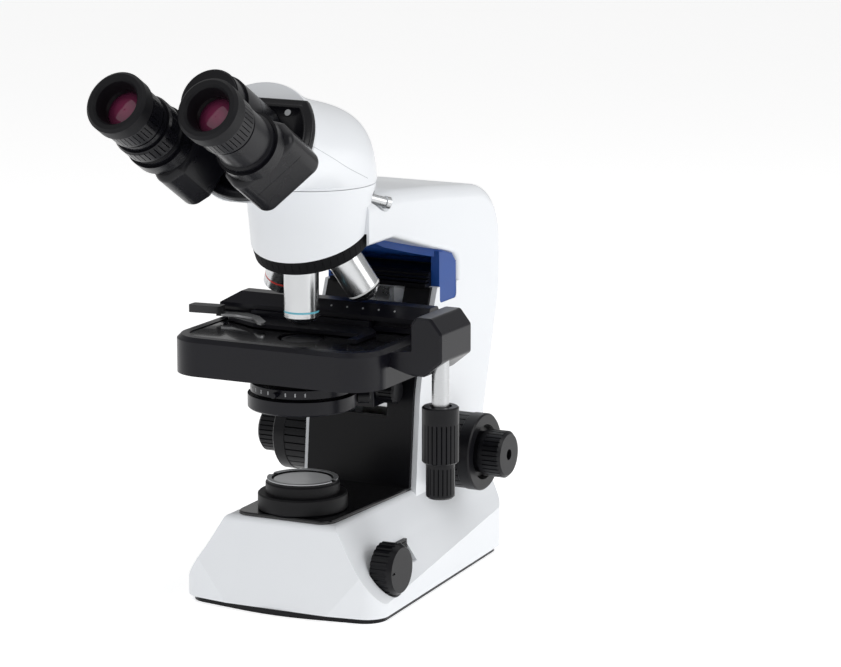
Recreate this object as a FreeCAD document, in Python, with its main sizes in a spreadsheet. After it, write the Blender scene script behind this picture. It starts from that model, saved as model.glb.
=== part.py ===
import FreeCAD, Part
import math
import os
import Sketcher

# Binocular upright microscope, in millimetres.
# Z = 0 is the table. The optical axis of the working objective is X = 0, Y = 0.
# -Y faces the observer, +Y is the arm, +X is the observer's right hand.

doc = FreeCAD.newDocument("Microscope")
sheet = doc.addObject("Spreadsheet::Sheet", "Sizes")


# Sizes: each one is a cell of the sheet and can be used in sums that stay bound to it
class Size:
    """A number that remembers the sheet formula that gives it."""

    def __init__(self, value, text):
        self.value = float(value)
        self.text = text

    def __float__(self):
        return self.value

    def __add__(self, other):
        other = as_size(other)
        return Size(self.value + other.value, f"({self.text} + {other.text})")

    def __sub__(self, other):
        other = as_size(other)
        return Size(self.value - other.value, f"({self.text} - {other.text})")

    def __mul__(self, other):
        other = as_size(other)
        return Size(self.value * other.value, f"({self.text} * {other.text})")

    def __truediv__(self, other):
        other = as_size(other)
        return Size(self.value / other.value, f"({self.text} / {other.text})")

    def __radd__(self, other):
        return as_size(other) + self

    def __rsub__(self, other):
        return as_size(other) - self

    def __rmul__(self, other):
        return as_size(other) * self

    def __neg__(self):
        return Size(-self.value, f"(0 - {self.text})")


def as_size(number):
    if isinstance(number, Size):
        return number
    return Size(number, f"({float(number):.6g})")


def cosine(angle):
    return Size(math.cos(math.radians(float(angle))), f"cos({as_size(angle).text} * 1 deg)")


def sine(angle):
    return Size(math.sin(math.radians(float(angle))), f"sin({as_size(angle).text} * 1 deg)")


class Sizes:
    """The driving dimensions by name."""

    def __init__(self, table):
        for row, (name, value) in enumerate(table.items(), start=1):
            cell = f"A{row}"
            sheet.set(cell, str(value))
            sheet.setAlias(cell, name)
            setattr(self, name, Size(value, f"Sizes.{name}"))


S = Sizes({
    # stand: base
    "base_front_half": 79.0,
    "base_back_half": 63.0,
    "base_front": 41.0,
    "base_bow": 6.0,
    "base_front_round": 180.0,
    "base_back": 199.0,
    "base_corner": 16.0,
    "base_lift": 4.0,
    "base_rim": 12.0,
    "deck_height": 66.0,
    "deck_front": 33.0,
    "flank_top_half": 43.0,
    "flank_knee_half": 57.0,
    "flank_knee_height": 43.0,
    "base_cavity_half": 44.0,
    "base_roof": 12.0,
    "base_wall": 8.0,
    "column_cavity_half": 34.0,
    "column_cavity_front": 141.0,
    "light_hole": 7.0,
    "plate_thick": 2.2,
    "plate_inset": 3.0,
    "plate_rim": 4.0,
    "foot_radius": 8.0,
    "foot_inset": 22.0,
    "foot_inset_back": 20.0,
    # stand: column and upper arm
    "column_half": 45.5,
    "column_front_low": 86.0,
    "column_front_mid": 93.0,
    "column_mid_height": 143.0,
    "column_front_top": 120.0,
    "column_top": 208.0,
    "waist_back": 203.0,
    "waist_height": 100.0,
    "arm_back": 229.0,
    "arm_back_height": 190.0,
    "arm_back_round": 46.0,
    "arm_top_back": 268.0,
    "arm_top_front": 281.0,
    "throat_back": 154.0,
    "throat_roof_back": 227.0,
    "throat_roof_front": 254.5,
    "arm_edge_round": 9.0,
    "panel_half": 41.5,
    "panel_thick": 3.0,
    "cap_thick": 11.2,
    "cap_slot_low": 2.8,
    "cap_slot_pitch": 2.6,
    "cap_slot_width": 1.2,
    "cap_slots": 3,
    "grip_front": 70.0,
    "grip_leg_front": 124.0,
    "grip_leg_back": 151.0,
    "grip_leg_low": 196.0,
    "grip_leg_width": 7.0,
    "grip_thick": 5.0,
    # focus drive
    "channel_half": 21.0,
    "channel_back": 119.0,
    "channel_bottom": 62.0,
    "slot_bottom": 118.0,
    "rail_half": 11.0,
    "rail_thick": 7.0,
    "slide_gap": 0.3,
    "slide_half": 17.0,
    "slide_thick": 13.0,
    "knob_y": 128.3,
    "knob_z": 89.2,
    "pinion_radius": 5.5,
    "fine_shaft_radius": 3.0,
    "coarse_shaft_radius": 7.0,
    "shaft_clearance": 0.06,
    "coarse_inner": 49.0,
    "coarse_outer": 80.0,
    "coarse_radius": 28.0,
    "fine_outer": 99.0,
    "fine_radius": 17.0,
    "knob_gap": 0.8,
    "bushing_radius": 20.0,
    "slide_low": 122.0,
    "slide_high": 196.0,
    "tongue_half": 8.0,
    "rack_low": 74.0,
    "rack_high": 140.0,
    "rack_teeth": 20,
    "rack_pitch": 3.0,
    "pinion_teeth": 12,
    "flute_count": 30,
    # nose housing, turret and objectives
    "nose_y": 14.5,
    "nose_top_radius": 45.5,
    "nose_top": 297.0,
    "nose_low_radius": 42.0,
    "turret_tilt": 23.0,
    "turret_apex": 293.1,
    "turret_top": 31.0,
    "rim_top": 33.5,
    "rim_low": 43.3,
    "rim_radius": 41.5,
    "rim_width": 4.0,
    "rim_flutes": 48,
    "turret_gap": 0.4,
    "objective_shoulder": 46.9,
    "objective_radius": 12.2,
    "long_barrel": 44.6,
    "short_barrel": 38.0,
    "thread_radius": 10.0,
    "thread_length": 4.0,
    "pivot_radius": 4.0,
    # head
    "seat_radius": 26.0,
    "seat_depth": 8.0,
    "head_gap": 0.4,
    "head_foot_radius": 46.0,
    "eye_tilt": 30.0,
    "hinge_y": 64.5,
    "hinge_z": 337.2,
    "flange_radius": 32.0,
    "flange_rise": 13.5,
    "flange_hub": 27.0,
    "flange_thick": 5.0,
    "flange_screw_x": 7.0,
    "flange_screw_y": 33.0,
    "chin_drop": 47.0,
    "crown_rise": 47.0,
    "head_bulge": 54.0,
    "head_front_half": 45.0,
    "hinge_pin_radius": 6.0,
    "clamp_x": 30.0,
    "clamp_y": 12.7,
    "clamp_z": 291.5,
    "clamp_radius": 2.5,
    "clamp_start": 7.0,
    "clamp_end": 34.0,
    "clamp_head": 3.6,
    "clamp_room": 6.5,
    "swing_radius": 44.0,
    "pupil_distance": 68.0,
    "sleeve_radius": 22.5,
    "sleeve_split": 35.2,
    "sleeve_end": 69.0,
    "block_back": 6.5,
    "block_front": 56.0,
    "block_half": 26.0,
    "block_end": 59.5,
    "block_round": 9.0,
    "block_edge_round": 6.0,
    "sleeve_front_radius": 21.0,
    "boss_radius": 22.6,
    "boss_end": 66.0,
    "tube_radius": 19.0,
    "tube_end": 93.0,
    "eyepiece_bore": 15.0,
    "eyepiece_flutes": 40,
    "dioptre_low": 74.0,
    "dioptre_high": 87.5,
    "dioptre_radius": 21.5,
    "dioptre_flutes": 36,
    "eyepiece_end": 125.0,
    "eyecup_radius": 21.5,
    "eye_lens_radius": 12.5,
    # stage
    "stage_left": 88.0,
    "stage_right": 73.0,
    "stage_front": 40.0,
    "stage_rear": 68.0,
    "stage_bottom": 163.0,
    "stage_top": 190.0,
    "stage_skin": 6.0,
    "stage_wall": 4.0,
    "stage_corner": 26.0,
    "stage_small_corner": 8.0,
    "stage_hole": 18.0,
    "insert_thick": 2.0,
    "tray_inset": 9.0,
    "bracket_low": 128.0,
    "bracket_high": 189.5,
    "guide_half": 7.0,
    "knob_seat_y": 79.0,
    "knob_seat_z": 139.0,
    "pinion_bore": 4.0,
    "lift_knob_radius": 9.0,
    "lift_knob_flutes": 20,
    "bar_front": 40.0,
    "bar_back": 60.0,
    "bar_right": 77.0,
    "cover_top": 208.5,
    "groove_low": 193.8,
    "holder_thick": 2.7,
    "fence_y": 13.5,
    "stop_x": 39.0,
    "finger_x": -66.0,
    "finger_y": 32.0,
    "finger_pin": 2.0,
    "block_left": 88.0,
    "block_right": 112.0,
    "block_near": 8.0,
    "block_far": 38.0,
    "rod_top": 188.0,
    "block_low": 172.0,
    "block_top": 213.0,
    "drop_x": 105.4,
    "drop_y": 4.5,
    "y_knob_top": 150.5,
    "y_knob_low": 111.0,
    "y_knob_radius": 12.8,
    "y_knob_flutes": 24,
    "x_knob_low": 86.0,
    "x_knob_radius": 10.0,
    "x_knob_flutes": 20,
    "sleeve_rod": 6.0,
    "inner_rod": 3.5,
    # condenser and lamp
    "holder_radius": 38.0,
    "holder_low": 141.0,
    "holder_high": 148.0,
    "condenser_radius": 30.0,
    "iris_ring_radius": 36.0,
    "iris_ring_low": 152.5,
    "iris_ring_high": 159.5,
    "condenser_top": 188.5,
    "condenser_tip": 14.0,
    "screw_knob_radius": 5.0,
    "screw_angle": 38.0,
    "lamp_radius": 31.5,
    "lamp_low_height": 80.0,
    "lamp_ring_radius": 26.0,
    "lamp_top": 90.0,
    "field_lens_radius": 21.2,
    "lamp_well_radius": 18.0,
    "deck_thick": 2.2,
    "deck_front_half": 37.5,
    # controls on the base
    "dial_bore": 4.0,
    "dial_stem": 16.0,
    "switch_floor": 60.0,
    "inlet_x": 20.0,
    "inlet_z": 32.0,
    "inlet_half": 14.0,
    "inlet_half_height": 10.5,
    "dial_y": 4.0,
    "dial_z": 33.0,
    "dial_radius": 18.5,
    "dial_flutes": 24,
    "dial_root": 64.0,
    "dial_face": 80.0,
    "switch_y": 33.0,
    "switch_z": 35.0,
    "switch_half": 10.0,
    "switch_half_height": 7.5,
})


# Sketch drawing: corners are tied to the sheet, and so is each radius
def vec(x, y, z=0.0):
    return FreeCAD.Vector(float(x), float(y), float(z))


def bind(thing, name, size):
    thing.setExpression(name, as_size(size).text)


def pin_point(sketch, geometry, position, x, y):
    """Ties a point of a sketch to its place from the sketch's origin."""
    for kind, size, axis in (("DistanceX", x, -2), ("DistanceY", y, -1)):
        if float(size) == 0.0 and not isinstance(size, Size):
            sketch.addConstraint(Sketcher.Constraint("PointOnObject", geometry, position, axis))
        else:
            rule = Sketcher.Constraint(kind, -1, 1, geometry, position, float(size))
            index = sketch.addConstraint(rule)
            bind(sketch, f"Constraints[{index}]", size)


def circle(x, y, radius):
    def draw(sketch):
        ring = Part.Circle(vec(x, y), vec(0, 0, 1), float(radius))
        index = sketch.addGeometry(ring, False)
        pin_point(sketch, index, 3, x, y)
        rule = sketch.addConstraint(Sketcher.Constraint("Radius", index, float(radius)))
        bind(sketch, f"Constraints[{rule}]", radius)
    return draw


def round_corner(before, corner, after, radius):
    """Start, end and centre of the arc that rounds a corner, and whether it turns left."""
    inward = (before - corner).normalize()
    outward = (after - corner).normalize()
    half = inward.getAngle(outward) / 2
    setback = radius / math.tan(half)
    middle = (inward + outward).normalize() * (radius / math.sin(half))
    left = (corner - before).cross(after - corner).z > 0
    return corner + inward * setback, corner + outward * setback, corner + middle, left


def outline(*corners):
    """A closed run of straight lines. A corner is (x, y), or (x, y, radius) if it is rounded."""
    def draw(sketch):
        points = [vec(corner[0], corner[1]) for corner in corners]
        count = len(corners)
        rounds = {}
        for i, corner in enumerate(corners):
            if len(corner) > 2:
                rounds[i] = round_corner(points[i - 1], points[i], points[(i + 1) % count], float(corner[2]))
        lines = []
        for i in range(count):
            following = (i + 1) % count
            start = rounds[i][1] if i in rounds else points[i]
            end = rounds[following][0] if following in rounds else points[following]
            lines.append(sketch.addGeometry(Part.LineSegment(start, end), False))
        for i, corner in enumerate(corners):
            came, leaves = lines[i - 1], lines[i]
            if i not in rounds:
                sketch.addConstraint(Sketcher.Constraint("Coincident", came, 2, leaves, 1))
                pin_point(sketch, leaves, 1, corner[0], corner[1])
                continue
            start, end, centre, left = rounds[i]
            first = math.atan2(start.y - centre.y, start.x - centre.x)
            last = math.atan2(end.y - centre.y, end.x - centre.x)
            if not left:
                first, last = last, first
            ring = Part.Circle(centre, vec(0, 0, 1), float(corner[2]))
            arc = sketch.addGeometry(Part.ArcOfCircle(ring, first, last), False)
            mark = sketch.addGeometry(Part.Point(points[i]), True)
            pin_point(sketch, mark, 1, corner[0], corner[1])
            sketch.addConstraint(Sketcher.Constraint("PointOnObject", mark, 1, came))
            sketch.addConstraint(Sketcher.Constraint("PointOnObject", mark, 1, leaves))
            sketch.addConstraint(Sketcher.Constraint("Tangent", came, 2, arc, 1 if left else 2))
            sketch.addConstraint(Sketcher.Constraint("Tangent", arc, 2 if left else 1, leaves, 1))
            rule = sketch.addConstraint(Sketcher.Constraint("Radius", arc, float(corner[2])))
            bind(sketch, f"Constraints[{rule}]", corner[2])
    return draw


def block(x0, y0, x1, y1, radius=None):
    """A rectangle between two corners."""
    corners = [(x0, y0), (x1, y0), (x1, y1), (x0, y1)]
    if radius is not None:
        corners = [(x, y, radius) for x, y in corners]
    return outline(*corners)


PLANES = {"XY": ("XY_Plane", 1), "XZ": ("XZ_Plane", -1), "YZ": ("YZ_Plane", 1)}


class Piece:
    """One rigid piece, made as a body of sketched features."""

    def __init__(self, label):
        self.body = doc.addObject("PartDesign::Body", label)
        self.body.Label = label
        self.count = 0

    def named(self, kind):
        self.count += 1
        return f"{self.body.Name}_{kind}_{self.count}"

    def plane(self, role):
        return next(item for item in self.body.Origin.OriginFeatures if item.Role == role)

    def sketch(self, plane, loops, start=0):
        role, sign = PLANES[plane]
        sketch = self.body.newObject("Sketcher::SketchObject", self.named("sketch"))
        sketch.AttachmentSupport = [(self.plane(role), "")]
        sketch.MapMode = "FlatFace"
        if isinstance(start, Size) or start:
            sketch.AttachmentOffset = FreeCAD.Placement(vec(0, 0, sign * float(start)), FreeCAD.Rotation())
            bind(sketch, "AttachmentOffset.Base.z", start if sign > 0 else -as_size(start))
        for loop in loops:
            loop(sketch)
        return sketch

    def feature(self, kind, name):
        feature = self.body.newObject(f"PartDesign::{kind}", self.named(name))
        return feature

    def pad(self, plane, loops, start, end):
        """Adds the outline from one coordinate to a higher one, along the axis across the plane."""
        sketch = self.sketch(plane, loops, start)
        pad = self.feature("Pad", "pad")
        pad.Profile = sketch
        pad.Length = float(end) - float(start)
        bind(pad, "Length", as_size(end) - start)
        pad.Reversed = PLANES[plane][1] < 0
        doc.recompute()
        return self

    def cut(self, plane, loops, start, end):
        """Takes the outline away between two coordinates along the axis across the plane."""
        before = self.body.Shape.Volume
        sketch = self.sketch(plane, loops, start)
        pocket = self.feature("Pocket", "cut")
        pocket.Profile = sketch
        pocket.Length = float(end) - float(start)
        bind(pocket, "Length", as_size(end) - start)
        pocket.Reversed = PLANES[plane][1] > 0
        doc.recompute()
        check_smaller(self.body, before)
        return self

    def turn(self, *corners):
        """Adds a ring or disc: the outline (radius, height) goes round the piece's Z axis."""
        sketch = self.sketch("XZ", [outline(*corners)])
        spin = self.feature("Revolution", "turn")
        spin.Profile = sketch
        spin.ReferenceAxis = (sketch, ["V_Axis"])
        spin.Angle = 360
        doc.recompute()
        return self

    def bore(self, *corners):
        """Turns a groove or bore out of the piece, round its Z axis."""
        before = self.body.Shape.Volume
        sketch = self.sketch("XZ", [outline(*corners)])
        groove = self.feature("Groove", "bore")
        groove.Profile = sketch
        groove.ReferenceAxis = (sketch, ["V_Axis"])
        groove.Angle = 360
        doc.recompute()
        check_smaller(self.body, before)
        return self

    def around(self, copies):
        """Repeats the last cut round the piece's Z axis."""
        before = self.body.Shape.Volume
        last = self.body.Tip
        pattern = self.feature("PolarPattern", "around")
        pattern.Originals = [last]
        pattern.Axis = (self.plane("Z_Axis"), [""])
        pattern.Angle = 360
        pattern.Occurrences = int(float(copies))
        bind(pattern, "Occurrences", copies)
        self.body.Tip = pattern
        doc.recompute()
        check_smaller(self.body, before)
        return self

    def edges(self, chosen):
        shape = self.body.Shape
        names = [f"Edge{i}" for i, edge in enumerate(shape.Edges, start=1) if chosen(edge)]
        if not names:
            raise ValueError(f"no edge of {self.body.Label} was found")
        return (self.body.Tip, names)

    def fillet(self, radius, chosen):
        base = self.edges(chosen)
        feature = self.feature("Fillet", "fillet")
        feature.Base = base
        feature.Radius = float(radius)
        bind(feature, "Radius", radius)
        doc.recompute()
        return self

    def chamfer(self, width, chosen):
        base = self.edges(chosen)
        feature = self.feature("Chamfer", "chamfer")
        feature.Base = base
        feature.Size = float(width)
        bind(feature, "Size", width)
        doc.recompute()
        return self

    def place(self, x=0, y=0, z=0, rotation=None):
        self.body.Placement = FreeCAD.Placement(vec(x, y, z), rotation or FreeCAD.Rotation())
        for axis, size in zip("xyz", (x, y, z)):
            if isinstance(size, Size):
                bind(self.body, f"Placement.Base.{axis}", size)
        return self


def check_smaller(body, before):
    if not body.Shape.Volume < before - 1e-3:
        raise ValueError(f"a cut of {body.Label} took nothing away")


# Shared places
def turned_x(degrees):
    return FreeCAD.Rotation(vec(1, 0, 0), float(degrees))


def turned_y(degrees):
    return FreeCAD.Rotation(vec(0, 1, 0), float(degrees))


def turned_z(degrees):
    return FreeCAD.Rotation(vec(0, 0, 1), float(degrees))


ALONG_X = turned_y(90)
AGAINST_X = turned_y(-90)


def along(axis, coordinate):
    """True for a straight edge that lies in the plane where the axis has the coordinate."""
    def chosen(edge):
        box = edge.BoundBox
        low, high = {"x": (box.XMin, box.XMax), "y": (box.YMin, box.YMax), "z": (box.ZMin, box.ZMax)}[axis]
        return abs(low - float(coordinate)) < 1e-3 and abs(high - float(coordinate)) < 1e-3
    return chosen


def whole(item):
    """The document object of a piece or of a sum of pieces."""
    return item.body if isinstance(item, Piece) else item


def shaped(label, shape):
    """A form worked out here with Part's own functions."""
    form = doc.addObject("Part::Feature", label)
    form.Label = label
    form.Shape = shape
    return form


def common(label, *forms):
    result = doc.addObject("Part::MultiCommon", label)
    result.Label = label
    result.Shapes = [whole(form) for form in forms]
    doc.recompute()
    return result


def fused(label, *forms):
    result = doc.addObject("Part::MultiFuse", label)
    result.Label = label
    result.Shapes = [whole(form) for form in forms]
    result.Refine = True
    doc.recompute()
    return result


def minus(label, base, *tools):
    """The base with every tool taken out of it."""
    tool = whole(tools[0]) if len(tools) == 1 else fused(label + "_tools", *tools)
    result = doc.addObject("Part::Cut", label)
    result.Label = label
    result.Base = whole(base)
    result.Tool = tool
    doc.recompute()
    if not result.Shape.Volume < result.Base.Shape.Volume - 1e-3:
        raise ValueError(f"the tools of {label} took nothing away")
    return result


def ring_section(label, long_radius, short_radius, placement):
    """An ellipse whose long radius lies along its own x axis."""
    ring = doc.addObject("Part::Ellipse", label)
    ring.MajorRadius = float(long_radius)
    ring.MinorRadius = float(short_radius)
    bind(ring, "MajorRadius", long_radius)
    bind(ring, "MinorRadius", short_radius)
    ring.Placement = placement
    return ring


def lofted(label, sections):
    skin = doc.addObject("Part::Loft", label)
    skin.Label = label
    skin.Sections = sections
    skin.Solid = True
    doc.recompute()
    return skin


# Stand: one painted casting with the base, the column, the upper arm and the nose housing
def flank_corners(inset=0):
    """Half outline of the base across its width, from the table up, with its concave flank."""
    right = [
        (S.base_front_half - inset, S.base_lift),
        (S.base_front_half - inset, S.base_rim, 6),
        (S.flank_knee_half - inset, S.flank_knee_height, 40),
        (S.flank_top_half - inset, S.deck_height, 6),
    ]
    left = [(-corner[0], *corner[1:]) for corner in reversed(right)]
    return right + left


def make_base_form():
    side = Piece("base_side_form")
    side.pad("YZ", [outline(
        (-S.base_front, S.base_lift),
        (S.base_back, S.base_lift),
        (S.base_back, S.deck_height, 14),
        (-S.deck_front, S.deck_height, 5),
    )], -S.base_front_half, S.base_front_half)
    across = Piece("base_across_form")
    across.pad("XZ", [outline(*flank_corners())], -S.base_front - S.base_bow, S.base_back)
    plan = Piece("base_plan_form")
    plan.pad("XY", [outline(
        (0, -S.base_front - S.base_bow, S.base_front_round),
        (S.base_front_half, -S.base_front + S.base_bow, S.base_corner),
        (S.base_back_half, S.base_back, S.base_corner),
        (-S.base_back_half, S.base_back, S.base_corner),
        (-S.base_front_half, -S.base_front + S.base_bow, S.base_corner),
    )], S.base_lift, S.deck_height)
    return side, across, plan


def make_arm_form():
    arm = Piece("arm_form")
    arm.pad("YZ", [outline(
        (S.column_front_low, S.deck_height - 20),
        (S.column_front_low, S.deck_height),
        (S.column_front_mid, S.column_mid_height, 120),
        (S.column_front_top, S.column_top),
        (S.throat_back, S.column_top),
        (S.throat_back, S.throat_roof_back, 10),
        (S.nose_y + 40, S.throat_roof_front, 12),
        (S.nose_y, S.throat_roof_front),
        (S.nose_y, S.arm_top_front + 6),
        (S.nose_y + 50, S.arm_top_front + 6, 60),
        (S.nose_y + 110, S.arm_top_front, 200),
        (S.arm_back, S.arm_top_back, S.arm_back_round),
        (S.arm_back, S.arm_back_height, 60),
        (S.waist_back, S.waist_height, 60),
        (S.base_back - 1, S.deck_height - 20),
    )], -S.column_half, S.column_half)
    return arm


def make_nose_form():
    """Round housing above the turret: level on top, square to the turret's axis below."""
    top = FreeCAD.Placement(vec(0, S.nose_y, S.nose_top), FreeCAD.Rotation())
    below = S.rim_top - S.turret_gap
    centre_y = below * sine(S.turret_tilt)
    centre_z = S.turret_apex - below * cosine(S.turret_tilt)
    low = FreeCAD.Placement(vec(0, centre_y, centre_z), turned_x(S.turret_tilt))
    return lofted("nose_form", [
        ring_section("nose_ring_top", S.nose_top_radius, S.nose_top_radius, top),
        ring_section("nose_ring_low", S.nose_low_radius, S.nose_low_radius, low),
    ])


def make_stand_frame():
    base_form = common("base_form", *make_base_form())
    arm = make_arm_form()

    def outer_edge(edge):
        box = edge.BoundBox
        beside = abs(abs(box.XMin) - float(S.column_half)) < 1e-3 and box.XLength < 1e-3
        return beside and (box.YMin > float(S.base_back) - 2 or box.ZMin > float(S.throat_roof_front) + 8)

    def roof_edge(edge):
        box = edge.BoundBox
        beside = abs(abs(box.XMin) - float(S.column_half)) < 1e-3 and box.XLength < 1e-3
        return beside and box.ZMin > float(S.column_top) + 1 and box.ZMax < float(S.throat_roof_front) + 0.1
    arm.fillet(S.arm_edge_round, outer_edge)
    arm.fillet(4, roof_edge)
    form = fused("stand_form", base_form, arm, make_nose_form())
    cavity = Piece("base_cavity")
    cavity.pad("XY", [block(-S.base_cavity_half, -S.deck_front + S.base_wall, S.base_cavity_half,
                            S.base_back - S.base_wall - 4, 8)], 0, S.deck_height - S.base_roof)
    hollow = Piece("column_cavity")
    hollow.pad("XY", [block(-S.column_cavity_half, S.column_cavity_front, S.column_cavity_half,
                            S.base_back - S.base_wall - 4, 8)], S.deck_height - S.base_roof - 2,
               S.column_top - 24)
    channel = Piece("channel_form")
    channel.pad("XY", [block(-S.channel_half, S.base_front, S.channel_half, S.channel_back)],
                S.deck_height, S.arm_top_front)
    channel.pad("XZ", [block(-S.channel_half, S.channel_bottom, S.channel_half, S.deck_height)],
                S.column_front_low + 2, S.channel_back)
    limit = Piece("channel_limit")
    limit.pad("XY", [block(-S.channel_half, S.column_front_low - 10, S.channel_half, S.channel_back)],
              S.channel_bottom, S.column_top + 2)
    slot = common("channel", channel, limit)
    light = Piece("light_path").turn((0, 0), (S.light_hole, 0), (S.light_hole, S.nose_top + 10),
                                     (0, S.nose_top + 10)).place(z=S.throat_roof_front - 40)
    seat = Piece("head_seat").turn((0, -S.seat_depth), (S.seat_radius, -S.seat_depth), (S.seat_radius, 10),
                                   (0, 10)).place(0, 0, S.nose_top)
    room = Piece("turret_room")
    room.turn((0, -S.rim_top - 20), (S.rim_radius - S.rim_width + S.turret_gap, -S.rim_top - 20),
              (S.rim_radius - S.rim_width + S.turret_gap, -S.turret_top + S.turret_gap),
              (0, -S.turret_top + S.turret_gap))
    room.place(0, 0, S.turret_apex, turned_x(S.turret_tilt))
    sweep = Piece("turret_sweep")
    sweep.turn((0, -S.rim_top + S.turret_gap), (S.rim_radius + 2, -S.rim_top + S.turret_gap),
               (S.rim_radius + 2, -S.rim_top - 27), (S.rim_radius + 9, -S.rim_top - 52), (0, -S.rim_top - 52))
    sweep.place(0, 0, S.turret_apex, turned_x(S.turret_tilt))
    pivot = Piece("pivot_hole").turn((0, -S.turret_top - 4), (S.pivot_radius, -S.turret_top - 4),
                                     (S.pivot_radius, -S.turret_top + 10), (0, -S.turret_top + 10))
    pivot.place(0, 0, S.turret_apex, turned_x(S.turret_tilt))
    shaft = Piece("shaft_hole").turn((0, -S.base_front_half),
                                     (S.coarse_shaft_radius + S.shaft_clearance, -S.base_front_half),
                                     (S.coarse_shaft_radius + S.shaft_clearance, S.base_front_half),
                                     (0, S.base_front_half))
    shaft.place(0, S.knob_y, S.knob_z, ALONG_X)
    rack_groove = Piece("rack_groove")
    rack_groove.pad("XY", [block(S.rail_half - 0.5, S.channel_back - 1, S.channel_half,
                                 S.knob_y - S.pinion_radius + 1)],
                    S.channel_bottom, S.rack_high + 10)
    rack_groove.pad("XY", [block(S.rail_half - 0.5, S.channel_back - 1, S.channel_half,
                                 S.knob_y + S.coarse_shaft_radius + 1)],
                    S.knob_z - S.coarse_shaft_radius - 1, S.knob_z + S.coarse_shaft_radius + 1)
    clamp = Piece("clamp_room")
    clamp.turn((0, -6), (S.clamp_radius, -6), (S.clamp_radius, S.clamp_start - 0.5),
               (S.clamp_room, S.clamp_start - 0.5),
               (S.clamp_room, S.clamp_end + 12), (0, S.clamp_end + 12))
    set_place(clamp, clamp_place())
    dial = Piece("dial_hole").turn((0, 0), (S.dial_bore, 0), (S.dial_bore, S.base_front_half),
                                   (0, S.base_front_half))
    dial.place(S.base_cavity_half - 2, -S.dial_y, S.dial_z, ALONG_X)
    dial_room = Piece("dial_room").turn((0, -0.4), (S.dial_radius + 0.8, -0.4), (S.dial_radius + 0.8, 30),
                                        (0, 30))
    dial_room.place(S.dial_root, -S.dial_y, S.dial_z, ALONG_X)
    switch = Piece("switch_recess")
    switch.pad("YZ", [block(S.switch_y - S.switch_half, S.switch_z - S.switch_half_height,
                            S.switch_y + S.switch_half,
                            S.switch_z + S.switch_half_height)], S.base_cavity_half - 2, S.base_front_half)
    inlet = Piece("inlet_recess")
    inlet.pad("XZ", [block(S.inlet_x - S.inlet_half, S.inlet_z - S.inlet_half_height,
                           S.inlet_x + S.inlet_half,
                           S.inlet_z + S.inlet_half_height)], S.base_back - S.base_wall - 8, S.base_back + 2)
    grip = Piece("grip_recess")
    grip.pad("YZ", [block(S.grip_leg_front, S.grip_leg_low, S.grip_leg_back, S.column_top + 5, 3)],
             S.column_half - S.grip_leg_width, S.column_half + 2)
    grip.pad("YZ", [block(S.grip_leg_front, S.grip_leg_low, S.grip_leg_back, S.column_top + 5, 3)],
             -S.column_half - 2, -S.column_half + S.grip_leg_width)
    lamp = Piece("lamp_well").turn((0, 0), (S.lamp_well_radius, 0), (S.lamp_well_radius, S.base_roof + 4),
                                   (0, S.base_roof + 4))
    lamp.place(0, 0, S.deck_height - S.base_roof - 1)
    return minus("stand_frame", form, cavity, hollow, slot, light, seat, room, sweep, pivot, shaft,
                 rack_groove, clamp, dial, dial_room,
                 switch, inlet, grip, lamp)


# Stand: what is fixed to the casting
def make_base_plate():
    plate = Piece("base_plate")
    inset = S.plate_inset
    plate.pad("XY", [outline(
        (0, -S.base_front - S.base_bow + inset, S.base_front_round),
        (S.base_front_half - inset, -S.base_front + S.base_bow + inset, S.base_corner),
        (S.base_back_half - inset, S.base_back - inset, S.base_corner),
        (-S.base_back_half + inset, S.base_back - inset, S.base_corner),
        (-S.base_front_half + inset, -S.base_front + S.base_bow + inset, S.base_corner),
    )], 0, S.base_lift)
    inset = S.plate_inset + S.plate_rim
    plate.cut("XY", [outline(
        (0, -S.base_front - S.base_bow + inset, S.base_front_round),
        (S.base_front_half - inset, -S.base_front + S.base_bow + inset, S.base_corner),
        (S.base_back_half - inset, S.base_back - inset, S.base_corner),
        (-S.base_back_half + inset, S.base_back - inset, S.base_corner),
        (-S.base_front_half + inset, -S.base_front + S.base_bow + inset, S.base_corner),
    )], -1, S.base_lift - S.plate_thick)
    return plate


def make_rubber_feet():
    feet = Piece("rubber_feet")
    low = S.base_lift - S.plate_thick
    front, back = -S.base_front + S.foot_inset, S.base_back - S.foot_inset
    front_half, back_half = S.base_front_half - S.foot_inset, S.base_back_half - S.foot_inset_back
    spots = [(front_half, front), (-front_half, front), (back_half, back), (-back_half, back)]
    feet.pad("XY", [circle(x, y, S.foot_radius) for x, y in spots], 0, low)
    return feet


def make_deck_plate():
    deck = Piece("deck_plate")
    front = -S.deck_front + 2
    deck.pad("XY", [outline(
        (-S.panel_half, S.column_front_low), (-S.deck_front_half, front, 10), (S.deck_front_half, front, 10),
        (S.panel_half, S.column_front_low)), circle(0, 0, S.lamp_well_radius)],
        S.deck_height, S.deck_height + S.deck_thick)
    deck.chamfer(0.8, lambda edge: edge.BoundBox.ZMin > float(S.deck_height + S.deck_thick) - 1e-3
                 and edge.BoundBox.YMin < float(front) + 20
                 and edge.BoundBox.YMin < -float(S.lamp_well_radius) - 1)
    return deck


def make_column_panel():
    def front_line(ahead):
        return [(S.column_front_low - ahead, S.deck_height + S.deck_thick),
                (S.column_front_mid - ahead, S.column_mid_height, 120),
                (S.column_front_top - ahead, S.column_top)]
    front = front_line(S.panel_thick)
    back = front_line(0)
    panel = Piece("column_panel")
    panel.pad("YZ", [outline(*front, *reversed(back))], -S.panel_half, S.panel_half)
    panel.cut("XZ", [block(-S.channel_half, S.slot_bottom, S.channel_half, S.column_top + 5)],
              S.column_front_low - S.panel_thick - 5, S.column_front_top + 5)
    return panel


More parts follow.
